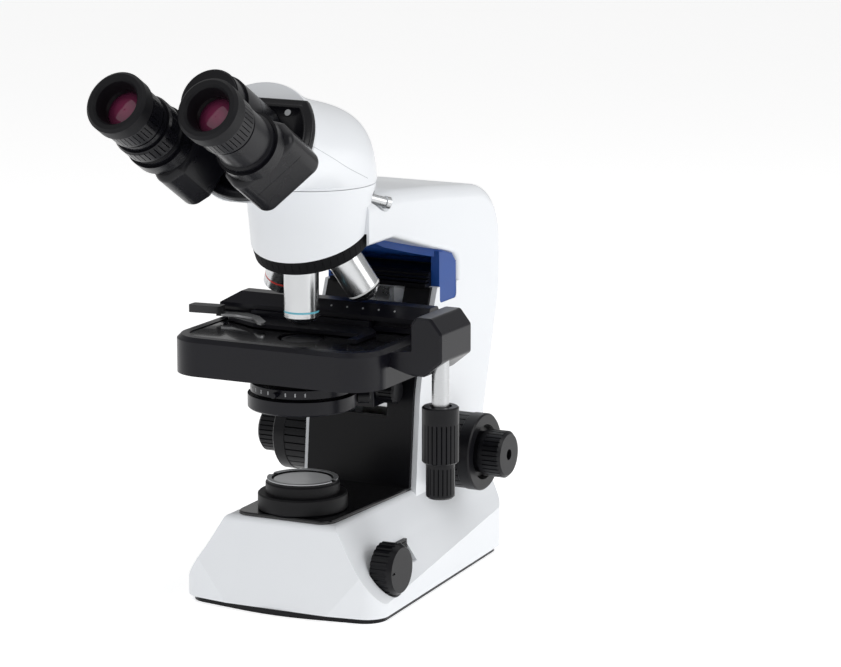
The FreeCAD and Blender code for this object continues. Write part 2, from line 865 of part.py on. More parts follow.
def make_column_cap():
    cap = Piece("column_cap")
    low = S.column_top
    cap.pad("YZ", [outline(
        (S.column_front_top - 6, low), (S.throat_back, low), (S.throat_back, low + S.cap_thick),
        (S.column_front_top + 2, low + S.cap_thick, 3), (S.column_front_top - 6, low + 3))],
        -S.column_half + S.grip_leg_width, S.column_half - S.grip_leg_width)
    for step in range(int(float(S.cap_slots))):
        height = low + S.cap_slot_low + S.cap_slot_pitch * step
        cap.cut("XZ", [block(-S.column_half, height, S.column_half, height + S.cap_slot_width)],
                S.column_front_top - 10, S.column_front_top + 0.5)
    return cap


def make_hand_grip():
    """Soft liner under the upper arm with a leg down each side of the column."""
    roof = Piece("grip_roof_form")
    slope = (S.throat_roof_front - S.throat_roof_back) / (S.throat_back - S.nose_y - 40)
    start = S.grip_front
    start_z = S.throat_roof_front - slope * (start - S.nose_y - 40)
    roof.pad("YZ", [outline(
        (start, start_z - 1.5), (start, start_z), (S.throat_back - 9, S.throat_roof_back + 9 * slope),
        (S.throat_back - 2, S.throat_roof_back - 5),
        (S.throat_back - 2, S.throat_roof_back - 5 - S.grip_thick, 3),
        (S.throat_back - 12, S.throat_roof_back + 12 * slope - S.grip_thick - 1, 8),
        (start + 16, start_z - 16 * slope - S.grip_thick, 20))], -S.column_half, S.column_half)
    spread = Piece("grip_plan_form")
    spread.pad("XY", [outline(
        (-14, start, 6), (14, start, 6), (30, S.throat_back - 42, 40),
        (S.column_half - 1, S.throat_back - 26, 8),
        (S.column_half - 1, S.throat_back), (-S.column_half + 1, S.throat_back),
        (-S.column_half + 1, S.throat_back - 26, 8), (-30, S.throat_back - 42, 40))],
        S.column_top, S.arm_top_front)
    legs = Piece("grip_legs_form")
    for inner, outer in ((S.column_half - S.grip_leg_width, S.column_half - 0.5),
                         (-S.column_half + 0.5, -S.column_half + S.grip_leg_width)):
        legs.pad("YZ", [outline(
            (S.grip_leg_front, S.grip_leg_low, 3), (S.grip_leg_back, S.grip_leg_low, 3),
            (S.grip_leg_back, S.throat_roof_back - 6),
            (S.grip_leg_back - 6, S.throat_roof_back + 5.5 * slope),
            (S.grip_leg_front, S.throat_roof_back + 24 * slope))], inner, outer)
    return fused("hand_grip", common("grip_roof", roof, spread), legs)


def make_lamp():
    holder = Piece("lamp_holder_form")
    low = S.deck_height + S.deck_thick
    holder.turn((S.field_lens_radius - 3, low), (S.lamp_radius - 1, low), (S.lamp_radius, low + 1),
                (S.lamp_radius, S.lamp_low_height - 1), (S.lamp_radius - 1, S.lamp_low_height),
                (S.lamp_ring_radius, S.lamp_low_height), (S.lamp_ring_radius, S.lamp_top - 3),
                (S.lamp_ring_radius - 1, S.lamp_top - 2), (S.field_lens_radius, S.lamp_top - 2),
                (S.field_lens_radius, S.lamp_top - 4), (S.field_lens_radius - 3, S.lamp_top - 4))
    ring = Piece("filter_ring_form")
    ring.turn((S.field_lens_radius + 0.6, S.lamp_top - 2), (S.lamp_ring_radius - 1, S.lamp_top - 2),
              (S.lamp_ring_radius - 1, S.lamp_top), (S.field_lens_radius + 0.6, S.lamp_top))
    ring.cut("XY", [block(-S.lamp_radius, -3, S.lamp_radius, 3)], S.lamp_top - 1, S.lamp_top + 1)
    lens = Piece("field_lens")
    lens.turn((0, S.lamp_top - 4), (S.field_lens_radius, S.lamp_top - 4),
              (S.field_lens_radius, S.lamp_top - 2.4),
              (S.field_lens_radius - 1, S.lamp_top - 1.4), (0, S.lamp_top - 1.4))
    lamp = Piece("lamp_module")
    low = S.deck_height - S.base_roof
    lamp.turn((0, low - 14), (S.lamp_well_radius + 6, low - 14), (S.lamp_well_radius + 6, low),
              (S.lamp_well_radius - 6, low), (S.lamp_well_radius - 6, low + 3), (5, low + 3), (4, low + 7),
              (0, low + 8))
    return fused("lamp_housing", holder, ring), lens, lamp


def make_power_inlet():
    inlet = Piece("power_inlet")
    x, z = S.inlet_x, S.inlet_z
    inlet.pad("XZ", [block(x - S.inlet_half, z - S.inlet_half_height, x + S.inlet_half,
                           z + S.inlet_half_height)],
              S.base_back - S.base_wall - 6, S.base_back)
    inlet.cut("XZ", [outline((x - 10, z - 6.5), (x + 10, z - 6.5), (x + 10, z + 3), (x + 6, z + 6.5),
                             (x - 6, z + 6.5),
                             (x - 10, z + 3))], S.base_back - 11, S.base_back + 1)
    inlet.pad("XZ", [block(x - 5.5, z - 1, x - 3.5, z + 1), block(x + 3.5, z - 1, x + 5.5, z + 1),
                     block(x - 1, z + 1.5, x + 1, z + 3.5)], S.base_back - 12, S.base_back - 2)
    return inlet


def make_switch():
    housing = Piece("switch_housing")
    floor = S.switch_floor
    y, z = S.switch_y, S.switch_z
    housing.pad("YZ", [block(y - S.switch_half, z - S.switch_half_height, y + S.switch_half,
                             z + S.switch_half_height)],
                S.base_cavity_half - 2, floor)
    housing.cut("YZ", [block(y - S.switch_half + 2, z - S.switch_half_height + 1.5, y + S.switch_half - 2,
                             z + S.switch_half_height - 1.5)], floor - 6, floor + 1)
    rocker = Piece("power_switch")
    long, high = S.switch_half - 2.3, S.switch_half_height - 1.9
    rocker.pad("XZ", [outline((-high, -3.2), (high, -3.2), (high, 0.8), (0, 2.2, 12), (-high, 0.8))], -long,
               long)
    rocker.place(floor - 0.6, y, z, ALONG_X)
    return housing, rocker


def make_dial():
    dial = Piece("brightness_dial")
    front = S.dial_face - S.dial_root
    dial.turn((0, -S.dial_stem), (S.dial_bore - S.shaft_clearance, -S.dial_stem),
              (S.dial_bore - S.shaft_clearance, 0),
              (S.dial_radius, 0), (S.dial_radius, front - 4), (S.dial_radius - 2.5, front), (0, front))
    dial.cut("XY", [circle(S.dial_radius + 0.9, 0, 1.6)], -0.5, front + 1).around(S.dial_flutes)
    dial.cut("XY", [block(-0.8, -S.dial_radius + 4, 0.8, -S.dial_radius + 8)], front - 0.8, front + 1)
    dial.place(S.dial_root, -S.dial_y, S.dial_z, ALONG_X)
    return dial


# Focus drive: coarse and fine knobs on one axis, rack, slides
def make_focus_rail():
    rail = Piece("focus_rail")
    rail.pad("XY", [block(-S.rail_half, S.channel_back - S.rail_thick, S.rail_half, S.channel_back)],
             S.channel_bottom, S.column_top - 2)
    return rail


def make_focus_bushings():
    bushings = Piece("focus_bushings")
    for start, end in ((S.column_half, S.coarse_inner), (-S.coarse_inner, -S.column_half)):
        bushings.pad("YZ", [circle(S.knob_y, S.knob_z, S.bushing_radius),
                            circle(S.knob_y, S.knob_z, S.coarse_shaft_radius + S.shaft_clearance)], start,
                     end)
    return bushings


def make_focus_slide():
    slide = Piece("slide_form")
    back = S.channel_back - S.slide_gap
    front = back - S.slide_thick - S.rail_thick
    slide.pad("XY", [block(-S.slide_half, front, S.slide_half, back)], S.slide_low, S.slide_high)
    slide.cut("XY", [block(-S.rail_half - S.slide_gap, back - S.rail_thick, S.rail_half + S.slide_gap,
                           back + 1)],
              S.slide_low - 1, S.slide_high + 1)
    slide.cut("XY", [outline((-S.tongue_half - S.slide_gap, front - 1),
                             (S.tongue_half + S.slide_gap, front - 1),
                             (S.tongue_half + S.slide_gap + 2, front + 5),
                             (-S.tongue_half - S.slide_gap - 2, front + 5))],
              S.slide_low - 1, S.slide_high + 1)
    rack = Piece("focus_rack")
    face = S.knob_y - S.pinion_radius - S.slide_gap
    rack.pad("XY", [block(S.rail_half + S.slide_gap, back - 5, S.slide_half + 1, face)], S.rack_low,
             S.rack_high)
    for step in range(int(float(S.rack_teeth))):
        low = S.rack_low + 2 + S.rack_pitch * step
        rack.cut("YZ", [outline((face - 1.4, low + 1), (face + 1, low), (face + 1, low + 2))],
                 S.rail_half, S.slide_half + 2)
    return fused("focus_slide", minus("slide_body", slide, rack_room(back)), rack)


def rack_room(back):
    room = Piece("rack_seat")
    room.pad("XY", [block(S.rail_half + S.slide_gap, back - 5, S.slide_half + 2, back + 1)],
             S.slide_low - 1, S.rack_high)
    return room


def make_coarse_shaft():
    coarse = Piece("coarse_shaft")
    end = S.coarse_outer - 6
    inner = S.fine_shaft_radius + S.shaft_clearance
    neck_start = S.rail_half - 0.5
    neck_end = S.slide_half + 2
    coarse.turn((inner, -end), (S.coarse_shaft_radius, -end), (S.coarse_shaft_radius, neck_start),
                (S.pinion_radius, neck_start), (S.pinion_radius, neck_end), (S.coarse_shaft_radius, neck_end),
                (S.coarse_shaft_radius, end), (inner, end))
    coarse.cut("XY", [outline((S.pinion_radius - 1.2, 0), (S.pinion_radius + 1, -0.9),
                              (S.pinion_radius + 1, 0.9))],
               neck_start, neck_end).around(S.pinion_teeth)
    coarse.place(0, S.knob_y, S.knob_z, ALONG_X)
    return coarse


def make_fine_shaft():
    fine = Piece("fine_shaft_form")
    end = S.fine_outer - 6
    fine.turn((0, -end), (S.fine_shaft_radius, -end), (S.fine_shaft_radius, end), (0, end))
    fine.place(0, S.knob_y, S.knob_z, ALONG_X)
    return fine


def make_right_fine_knob():
    """The right fine knob and the long shaft are one piece; the left knob is pinned on its end."""
    return fused("right_fine_knob", make_fine_knob("right_form", ALONG_X), make_fine_shaft())


def make_coarse_knob(side, rotation):
    knob = Piece(f"{side}_coarse_knob")
    inner = S.coarse_shaft_radius + S.shaft_clearance
    start = S.coarse_inner + S.knob_gap
    band = S.coarse_outer - 10
    knob.turn((inner, start), (S.bushing_radius + 2, start), (S.coarse_radius - 0.5, start + 3),
              (S.coarse_radius - 0.5, band), (S.coarse_radius, band + 0.5),
              (S.coarse_radius, S.coarse_outer - 1),
              (S.coarse_radius - 1, S.coarse_outer), (S.fine_radius + 3, S.coarse_outer),
              (S.fine_radius + 1, S.coarse_outer - 4), (inner, S.coarse_outer - 4))
    knob.cut("XY", [outline((S.coarse_radius - 1.5, 0), (S.coarse_radius + 1, -1.3),
                            (S.coarse_radius + 1, 1.3))],
             start - 1, band).around(S.flute_count)
    knob.place(0, S.knob_y, S.knob_z, rotation)
    return knob


def make_fine_knob(side, rotation):
    knob = Piece(f"{side}_fine_knob")
    inner = S.fine_shaft_radius + S.shaft_clearance
    start = S.coarse_outer - 4 + S.knob_gap
    knob.turn((inner, start), (S.fine_radius - 2, start), (S.fine_radius - 2, S.coarse_outer + 1),
              (S.fine_radius, S.coarse_outer + 2), (S.fine_radius, S.fine_outer - 2),
              (S.fine_radius - 2, S.fine_outer),
              (4, S.fine_outer), (4, S.fine_outer - 4), (inner, S.fine_outer - 4))
    knob.cut("XY", [outline((S.fine_radius - 0.9, 0), (S.fine_radius + 1, -1), (S.fine_radius + 1, 1))],
             S.coarse_outer + 5, S.fine_outer + 1).around(S.flute_count)
    knob.place(0, S.knob_y, S.knob_z, rotation)
    return knob


# Nosepiece: a tilted turret with four objectives on one cone
def turret_rotation(station):
    lean = turned_x(S.turret_tilt)
    return lean * turned_z(90 * station) * turned_x(-float(S.turret_tilt))


def seat_height(radius):
    """How far below the apex the conical seat face lies, along the turret's axis."""
    return (S.objective_shoulder - radius * sine(S.turret_tilt)) / cosine(S.turret_tilt)


def make_turret():
    form = Piece("turret_form")
    edge = S.rim_radius - S.rim_width - 0.05
    lip = edge - 3.5
    hub = S.pivot_radius + 4
    bore = S.pivot_radius + S.shaft_clearance
    form.turn((bore, -S.turret_top), (edge, -S.turret_top), (edge, -S.rim_top - 5), (lip, -S.rim_top - 5),
              (lip, -seat_height(lip)), (hub, -seat_height(hub)), (bore, -seat_height(hub)))
    form.place(0, 0, S.turret_apex, turned_x(S.turret_tilt))
    tools = []
    for station in range(4):
        tool = Piece(f"turret_bore_{station}")
        tool.turn((0, -S.objective_shoulder - 3), (S.thread_radius, -S.objective_shoulder - 3),
                  (S.thread_radius, -S.objective_shoulder + S.thread_length),
                  (S.light_hole, -S.objective_shoulder + S.thread_length), (S.light_hole, -S.turret_top + 6),
                  (0, -S.turret_top + 6))
        tool.place(0, 0, S.turret_apex, turret_rotation(station))
        tools.append(tool)
    turret = minus("turret", form, *tools)
    rim = Piece("turret_rim")
    inner = S.rim_radius - S.rim_width
    rim.turn((inner, -S.rim_top), (S.rim_radius, -S.rim_top), (S.rim_radius, -S.rim_top - 2),
             (S.rim_radius - 0.6, -S.rim_low), (inner, -S.rim_low))
    rim.cut("XY", [outline((S.rim_radius - 0.7, 0), (S.rim_radius + 1, -0.8), (S.rim_radius + 1, 0.8))],
            -S.rim_low - 1, -S.rim_top - 2).around(S.rim_flutes)
    rim.place(0, 0, S.turret_apex, turned_x(S.turret_tilt))
    pivot = Piece("turret_pivot")
    head = seat_height(hub) + 0.1
    pivot.turn((0, -S.turret_top + 8), (0, -head - 2.5), (S.pivot_radius + 2, -head - 2.5),
               (S.pivot_radius + 2.5, -head),
               (S.pivot_radius, -head), (S.pivot_radius, -S.turret_top + 8))
    pivot.place(0, 0, S.turret_apex, turned_x(S.turret_tilt))
    return turret, rim, pivot


def make_objective(label, station, radius, length, nose_radius, nose_length, cone):
    """Turned barrel: thread, knurled collar, body, cone and front lens mount."""
    barrel = Piece(label)
    shoulder = S.objective_shoulder
    end = shoulder + length
    thread = S.thread_radius - S.shaft_clearance
    barrel.turn((0, -shoulder + S.thread_length - 2), (S.light_hole, -shoulder + S.thread_length - 2),
                (S.light_hole, -shoulder + S.thread_length - 0.3),
                (thread, -shoulder + S.thread_length - 0.3),
                (thread, -shoulder), (radius, -shoulder), (radius, -shoulder - 7),
                (radius - 0.4, -shoulder - 7.5),
                (radius - 0.4, -shoulder - 9), (radius, -shoulder - 9.5), (radius, -end + cone),
                (radius - cone, -end), (nose_radius, -end), (nose_radius - 1, -end - nose_length),
                (nose_radius - 2.2, -end - nose_length), (nose_radius - 2.6, -end - nose_length + 1),
                (0, -end - nose_length + 1.2))
    barrel.place(0, 0, S.turret_apex, turret_rotation(station))
    return barrel


# Head: an elbow on a round foot, a hinge flange and two swinging eyetubes
def head_place(turn_angle=0.0, outward=0.0):
    """Place of the hinge's frame: z runs to the observer along the eyetubes, y up the flange."""
    flange = FreeCAD.Placement(vec(0, -S.hinge_y, S.hinge_z), turned_x(90 - float(S.eye_tilt)))
    swing = FreeCAD.Placement(vec(0, 0, 0), turned_z(turn_angle))
    return flange * swing * FreeCAD.Placement(vec(outward, 0, 0), FreeCAD.Rotation())


def set_place(piece, placement):
    piece.body.Placement = placement
    return piece


def oval(centre, along, reach, across):
    """An ellipse as four arcs, with its long half along a direction and its short half along X."""
    curve = Part.Ellipse(centre + along * reach, centre + vec(across, 0, 0), centre)
    quarter = math.pi / 2
    return Part.Wire([Part.ArcOfEllipse(curve, i * quarter, (i + 1) * quarter).toShape() for i in range(4)])


def make_head():
    up = vec(0, sine(S.eye_tilt), cosine(S.eye_tilt))
    ahead = vec(0, -cosine(S.eye_tilt), sine(S.eye_tilt))
    hinge = vec(0, -S.hinge_y, S.hinge_z)
    chin, crown = hinge - up * float(S.chin_drop), hinge + up * float(S.crown_rise)
    foot_y = S.nose_y
    foot_z = float(S.nose_top + S.head_gap) + 2.0
    front = vec(0, foot_y - S.head_foot_radius, foot_z)
    back = vec(0, foot_y + S.head_foot_radius, foot_z)
    back_lift = back + vec(0, 0, S.head_bulge)
    crown_back = crown - ahead * float(S.head_bulge)
    ovals = []
    for f in (0.0, 0.5, 1.0):
        g = 1 - f
        inner = front * g + chin * f
        outer = back * g ** 3 + back_lift * (3 * f * g * g) + crown_back * (3 * f * f * g) + crown * f ** 3
        span = outer - inner
        reach = span.Length / 2 + 0.01
        across = float(S.head_foot_radius) * g + float(S.head_front_half) * f
        ovals.append(oval((inner + outer) * 0.5, span.normalize(), reach, across))
    elbow = shaped("head_elbow", Part.makeLoft(ovals, True, False))
    foot = Piece("head_foot")
    plug = S.seat_radius - 0.1
    foot.turn((0, 0), (S.head_foot_radius - 0.6, 0), (S.head_foot_radius - 0.6, 5), (0, 5))
    foot.place(0, foot_y, S.nose_top + S.head_gap)
    stem = Piece("head_stem")
    stem.turn((0, -S.seat_depth + 0.3), (plug, -S.seat_depth + 0.3), (plug, -2), (plug, 4), (0, 4))
    stem.place(0, 0, S.nose_top)
    split = Piece("cover_form")
    seam = S.nose_top + S.head_gap + 5.0
    split.pad("YZ", [outline((-140, 366), (12, seam), (150, seam), (150, 470), (-140, 470))], -70, 70)
    bore = Piece("head_bore").turn((0, -S.seat_depth), (12, -S.seat_depth), (12, 16), (0, 16))
    bore.place(0, 0, S.nose_top)
    under = Piece("elbow_floor").pad("XY", [block(-90, -120, 90, 120)], S.nose_top - 40,
                                     S.nose_top + S.head_gap)
    lower = minus("head_body", fused("head_body_form", minus("elbow_low", elbow, split, under), foot, stem),
                  bore)
    upper = common("head_cover", elbow, split)
    return lower, upper


def make_flange():
    flange = Piece("hinge_flange")
    flange.pad("XY", [circle(0, S.flange_rise, S.flange_radius)], 0, S.flange_thick)
    flange.chamfer(1, lambda edge: edge.BoundBox.ZMin > float(S.flange_thick) - 1e-3)
    flange.pad("XY", [circle(0, 0, S.flange_hub)], 0, S.flange_thick - 1)
    flange.pad("XY", [circle(0, 0, S.flange_hub - 4)], S.flange_thick - 1, S.flange_thick + 0.8)
    flange.cut("XY", [circle(S.flange_screw_x, S.flange_screw_y, 2.6),
                      circle(-S.flange_screw_x, S.flange_screw_y, 2.6)],
               S.flange_thick - 1, S.flange_thick + 1)
    pin = Piece("hinge_pin")
    pin.turn((0, S.flange_thick + 0.8), (S.hinge_pin_radius, S.flange_thick + 0.8),
             (S.hinge_pin_radius, S.sleeve_end - 2.5), (0, S.sleeve_end - 2.5))
    for piece in (flange, pin):
        set_place(piece, head_place())
    return flange, pin


def swing_angle():
    return math.degrees(math.asin(float(S.pupil_distance) / 2 / float(S.swing_radius)))


def make_eyetube(side, sign):
    angle = sign * (swing_angle() - 90) if sign > 0 else -90 - swing_angle()
    reach = S.sleeve_radius + 0.3
    wedge = float(S.block_half) / math.tan(math.radians(33))
    housing = Piece(f"{side}_prism_housing" if side == "right" else "left_prism_form")
    housing.pad("XY", [outline(
        (12, -12 * math.tan(math.radians(32.5))), (wedge + 2, -S.block_half, 3),
        (S.block_end, -S.block_half, S.block_round),
        (S.block_end, S.block_half, S.block_round), (wedge + 2, S.block_half, 3),
        (12, 12 * math.tan(math.radians(32.5))))],
        S.block_back, S.block_front)

    def rim_edge(edge):
        box = edge.BoundBox
        level = box.ZLength < 1e-3
        return level and box.XMax > float(S.sleeve_radius) + 10
    housing.fillet(S.block_edge_round, rim_edge)
    housing.cut("XY", [circle(0, 0, reach)], S.block_back - 1, S.block_front + 1)
    low, high = (S.block_back, S.sleeve_split - 0.3) if side == "right" else (S.sleeve_split, S.block_front)
    housing.pad("XY", [circle(0, 0, S.sleeve_radius)], low, high)
    housing.pad("XY", [block(12, -11.5, reach + 3, 11.5)], low, high)
    if side == "left":
        housing.pad("XY", [circle(0, 0, S.sleeve_front_radius)], S.block_front - 1, S.sleeve_end)
    housing.pad("XY", [circle(S.swing_radius, 0, S.boss_radius)], S.block_front, S.boss_end)
    housing.cut("XY", [circle(0, 0, S.hinge_pin_radius + S.shaft_clearance)], S.block_back - 1,
                S.sleeve_end - 2)
    housing.cut("YZ", [block(-S.block_half - 1, S.sleeve_split - 0.3, S.block_half + 1, S.sleeve_split)],
                S.block_end - 0.4, S.block_end + 1)
    set_place(housing, head_place(angle))
    tube = Piece(f"{side}_eyetube")
    radius, end, bore = S.tube_radius, S.tube_end, S.eyepiece_bore
    tube.turn((0, S.boss_end), (radius + 1.5, S.boss_end), (radius + 1.5, S.boss_end + 3),
              (radius, S.boss_end + 4),
              (radius, end), (bore, end), (bore, end - 20), (0, end - 20))
    stem = bore - S.shaft_clearance
    lens_radius = S.eye_lens_radius + 0.5
    mouth = S.eyepiece_end - 12
    eyepiece = Piece(f"{side}_eyepiece")
    eyepiece.turn((0, end - 19.5), (stem, end - 19.5), (stem, end), (radius - 0.5, end),
                  (radius - 0.5, end + 2),
                  (radius + 1, end + 3), (radius + 1, mouth - 1), (radius, mouth), (lens_radius, mouth),
                  (lens_radius, mouth - 7), (0, mouth - 7))
    eyepiece.cut("XY", [outline((radius + 0.3, 0), (radius + 2, -0.7), (radius + 2, 0.7))], end + 5,
                 mouth - 3).around(S.eyepiece_flutes)
    lens = Piece(f"{side}_eye_lens")
    lens.turn((0, mouth - 7), (lens_radius, mouth - 7), (lens_radius, mouth - 4),
              (lens_radius - 5, mouth - 2.4),
              (0, mouth - 1.8))
    guard = Piece(f"{side}_eye_guard")
    guard.turn((lens_radius, mouth), (S.eyecup_radius, mouth), (S.eyecup_radius, S.eyepiece_end - 2),
               (S.eyecup_radius - 2, S.eyepiece_end), (S.eyecup_radius - 5, S.eyepiece_end),
               (lens_radius + 2, S.eyepiece_end - 2))
    made = [tube, eyepiece, lens, guard]
    if side == "left":
        ring = Piece("dioptre_ring")
        inner = radius + S.shaft_clearance
        ring.turn((inner, S.dioptre_low), (S.dioptre_radius, S.dioptre_low),
                  (S.dioptre_radius, S.dioptre_high - 2),
                  (S.dioptre_radius - 1, S.dioptre_high), (inner, S.dioptre_high))
        ring.cut("XY", [outline((S.dioptre_radius - 0.8, 0), (S.dioptre_radius + 1, -0.9),
                                (S.dioptre_radius + 1, 0.9))],
                 S.dioptre_low + 2, S.dioptre_high + 1).around(S.dioptre_flutes)
        made.append(ring)
    for piece in made:
        set_place(piece, head_place(angle, S.swing_radius))
    if side == "left":
        cap = Piece("hinge_cap_form")
        cap.turn((0, S.sleeve_end), (S.sleeve_front_radius - 0.5, S.sleeve_end),
                 (S.sleeve_front_radius - 0.5, S.sleeve_end + 0.8),
                 (S.sleeve_front_radius - 1, S.sleeve_end + 1.2),
                 (0, S.sleeve_end + 1.2))
        set_place(cap, head_place(angle))
        housing = fused("left_prism_housing", housing, cap)
    return [housing, *made]


CLAMP_LINE = vec(0.518, 0.804, -0.293)


def make_clamp_screw():
    screw = Piece("head_clamp_screw")
    stem = S.clamp_radius - S.shaft_clearance
    screw.turn((0, 0), (stem, 0), (stem, S.clamp_start), (S.clamp_head, S.clamp_start),
               (S.clamp_head, S.clamp_end - 4),
               (S.clamp_head + 0.8, S.clamp_end - 3.5), (S.clamp_head + 0.8, S.clamp_end), (0, S.clamp_end))
    screw.cut("XY", [circle(0, 0, 1.6)], S.clamp_end - 3, S.clamp_end + 1)
    set_place(screw, clamp_place())
    return screw


def clamp_place():
    return FreeCAD.Placement(vec(S.clamp_x, S.clamp_y, S.clamp_z), FreeCAD.Rotation(vec(0, 0, 1), CLAMP_LINE))


# Stage: carriage, plate, cross drive and slide holder
def make_stage_bracket():
    bracket = Piece("stage_bracket")
    back = S.channel_back - S.slide_gap * 2 - S.slide_thick - S.rail_thick
    half = S.channel_half - 0.6
    bracket.pad("XY", [block(-half, S.stage_rear, half, back, 2)], S.bracket_low, S.bracket_high)
    bracket.pad("XY", [outline((-S.tongue_half, back - 1), (S.tongue_half, back - 1),
                               (S.tongue_half + 1.6, back + 4.5),
                               (-S.tongue_half - 1.6, back + 4.5))], S.bracket_low, S.bracket_high)
    bracket.cut("XY", [block(-S.guide_half - S.slide_gap, S.stage_rear - 1, S.guide_half + S.slide_gap,
                             S.stage_rear + 4)],
                S.bracket_low - 1, S.holder_high + 14)
    bracket.cut("YZ", [circle(S.knob_seat_y, S.knob_seat_z, S.pinion_bore)], half - 8, half + 1)
    return bracket


def stage_outline(inset=0):
    return outline(
        (-S.stage_left + inset, -S.stage_front + inset, S.stage_corner - inset),
        (S.stage_right - inset, -S.stage_front + inset, S.stage_corner - inset),
        (S.stage_right - inset, S.stage_rear - inset, S.stage_small_corner),
        (-S.stage_left + inset, S.stage_rear - inset, S.stage_small_corner))


def make_stage_plate():
    plate = Piece("stage_plate")
    plate.pad("XY", [stage_outline()], S.stage_bottom, S.stage_top)
    top = float(S.stage_top)
    plate.chamfer(3, lambda edge: edge.BoundBox.ZMin > top - 1e-3)
    plate.cut("XY", [stage_outline(S.tray_inset)], S.stage_top - S.insert_thick, S.stage_top + 1)
    plate.cut("XY", [stage_outline(S.stage_wall)], S.stage_bottom - 1,
              S.stage_top - S.insert_thick - S.stage_skin)
    plate.cut("XY", [circle(0, 0, S.stage_hole)], S.stage_bottom - 1, S.stage_top + 1)
    tray = Piece("stage_surface")
    tray.pad("XY", [stage_outline(S.tray_inset + 0.1), circle(0, 0, S.stage_hole - 1)],
             S.stage_top - S.insert_thick, S.stage_top - 0.6)
    return plate, tray


def make_cross_bracket():
    bracket = Piece("drive_bracket")
    low, top = S.block_low, S.block_top
    bracket.pad("XZ", [outline(
        (S.stage_right, low + 5), (S.block_left + 2, low), (S.drop_x - 7, low), (S.block_right, low + 11, 3),
        (S.block_right, top - 10, 4), (S.block_right - 8, top, 3), (S.block_left + 4, top, 3),
        (S.block_left, top - 6), (S.block_left, S.stage_top - 1), (S.stage_right, S.stage_top - 3))],
        -S.block_near, S.block_far)
    bracket.chamfer(1.5, lambda edge: abs(edge.BoundBox.YMin + float(S.block_near)) < 1e-3
                    and edge.BoundBox.YLength < 1e-3 and edge.BoundBox.XMin > float(S.block_left) - 0.1)
    tool = Piece("drop_bore").turn((0, low - 2), (S.sleeve_rod + S.shaft_clearance, low - 2),
                                   (S.sleeve_rod + S.shaft_clearance, S.rod_top + 1), (0, S.rod_top + 1))
    tool.place(S.drop_x, S.drop_y, 0)
    bracket.body.Label = "drive_bracket_form"
    return minus("drive_bracket", bracket, tool)


def make_cross_knobs():
    upper = Piece("y_knob")
    bore = S.inner_rod + S.shaft_clearance
    radius = S.y_knob_radius
    upper.turn((bore, S.y_knob_low), (radius - 1, S.y_knob_low), (radius, S.y_knob_low + 1),
               (radius, S.y_knob_top - 1),
               (radius - 1, S.y_knob_top), (S.sleeve_rod + 2, S.y_knob_top),
               (S.sleeve_rod + 1, S.y_knob_top - 2),
               (bore, S.y_knob_top - 2))
    upper.cut("XY", [outline((radius - 0.9, 0), (radius + 1, -1), (radius + 1, 1))],
              S.y_knob_low - 1, S.y_knob_top - 12).around(S.y_knob_flutes)
    sleeve = Piece("y_drive_tube")
    sleeve.turn((bore, S.y_knob_top - 2), (S.sleeve_rod, S.y_knob_top - 2), (S.sleeve_rod, S.rod_top),
                (bore, S.rod_top))
    lower = Piece("x_knob_form")
    radius = S.x_knob_radius
    top = S.y_knob_low - 0.4
    lower.turn((0, S.x_knob_low), (radius - 1.5, S.x_knob_low), (radius, S.x_knob_low + 1.5), (radius, top),
               (S.inner_rod, top), (S.inner_rod, top - 8), (0, top - 8))
    lower.cut("XY", [outline((radius - 0.8, 0), (radius + 1, -0.9), (radius + 1, 0.9))],
              S.x_knob_low + 3, top - 3).around(S.x_knob_flutes)
    rod = Piece("x_rod_form")
    rod.turn((0, top - 8), (S.inner_rod, top - 8), (S.inner_rod, S.rod_top - 1), (0, S.rod_top - 1))
    for piece in (upper, sleeve, lower, rod):
        piece.place(S.drop_x, S.drop_y, 0)
    return upper, sleeve, fused("x_knob", lower, rod)


def make_guide_bar():
    bar = Piece("guide_bar")
    low = S.stage_top + S.slide_gap
    bar.pad("YZ", [outline((S.bar_front, low), (S.bar_back, low), (S.bar_back, S.cover_top - 4),
                           (S.bar_back - 3, S.cover_top), (S.bar_front + 6, S.cover_top),
                           (S.bar_front, S.cover_top - 8))],
            -S.stage_left, S.bar_right)
    bar.cut("XZ", [outline((-S.stage_left - 1, S.cover_top - 9), (-S.stage_left + 16, S.cover_top + 1),
                           (-S.stage_left - 1, S.cover_top + 1))], S.bar_front - 1, S.bar_back + 1)
    bar.cut("YZ", [block(S.bar_front - 1, S.groove_low, S.bar_front + 4, S.groove_low + 3.6)],
            -S.stage_left - 1, S.bar_right + 1)
    return bar


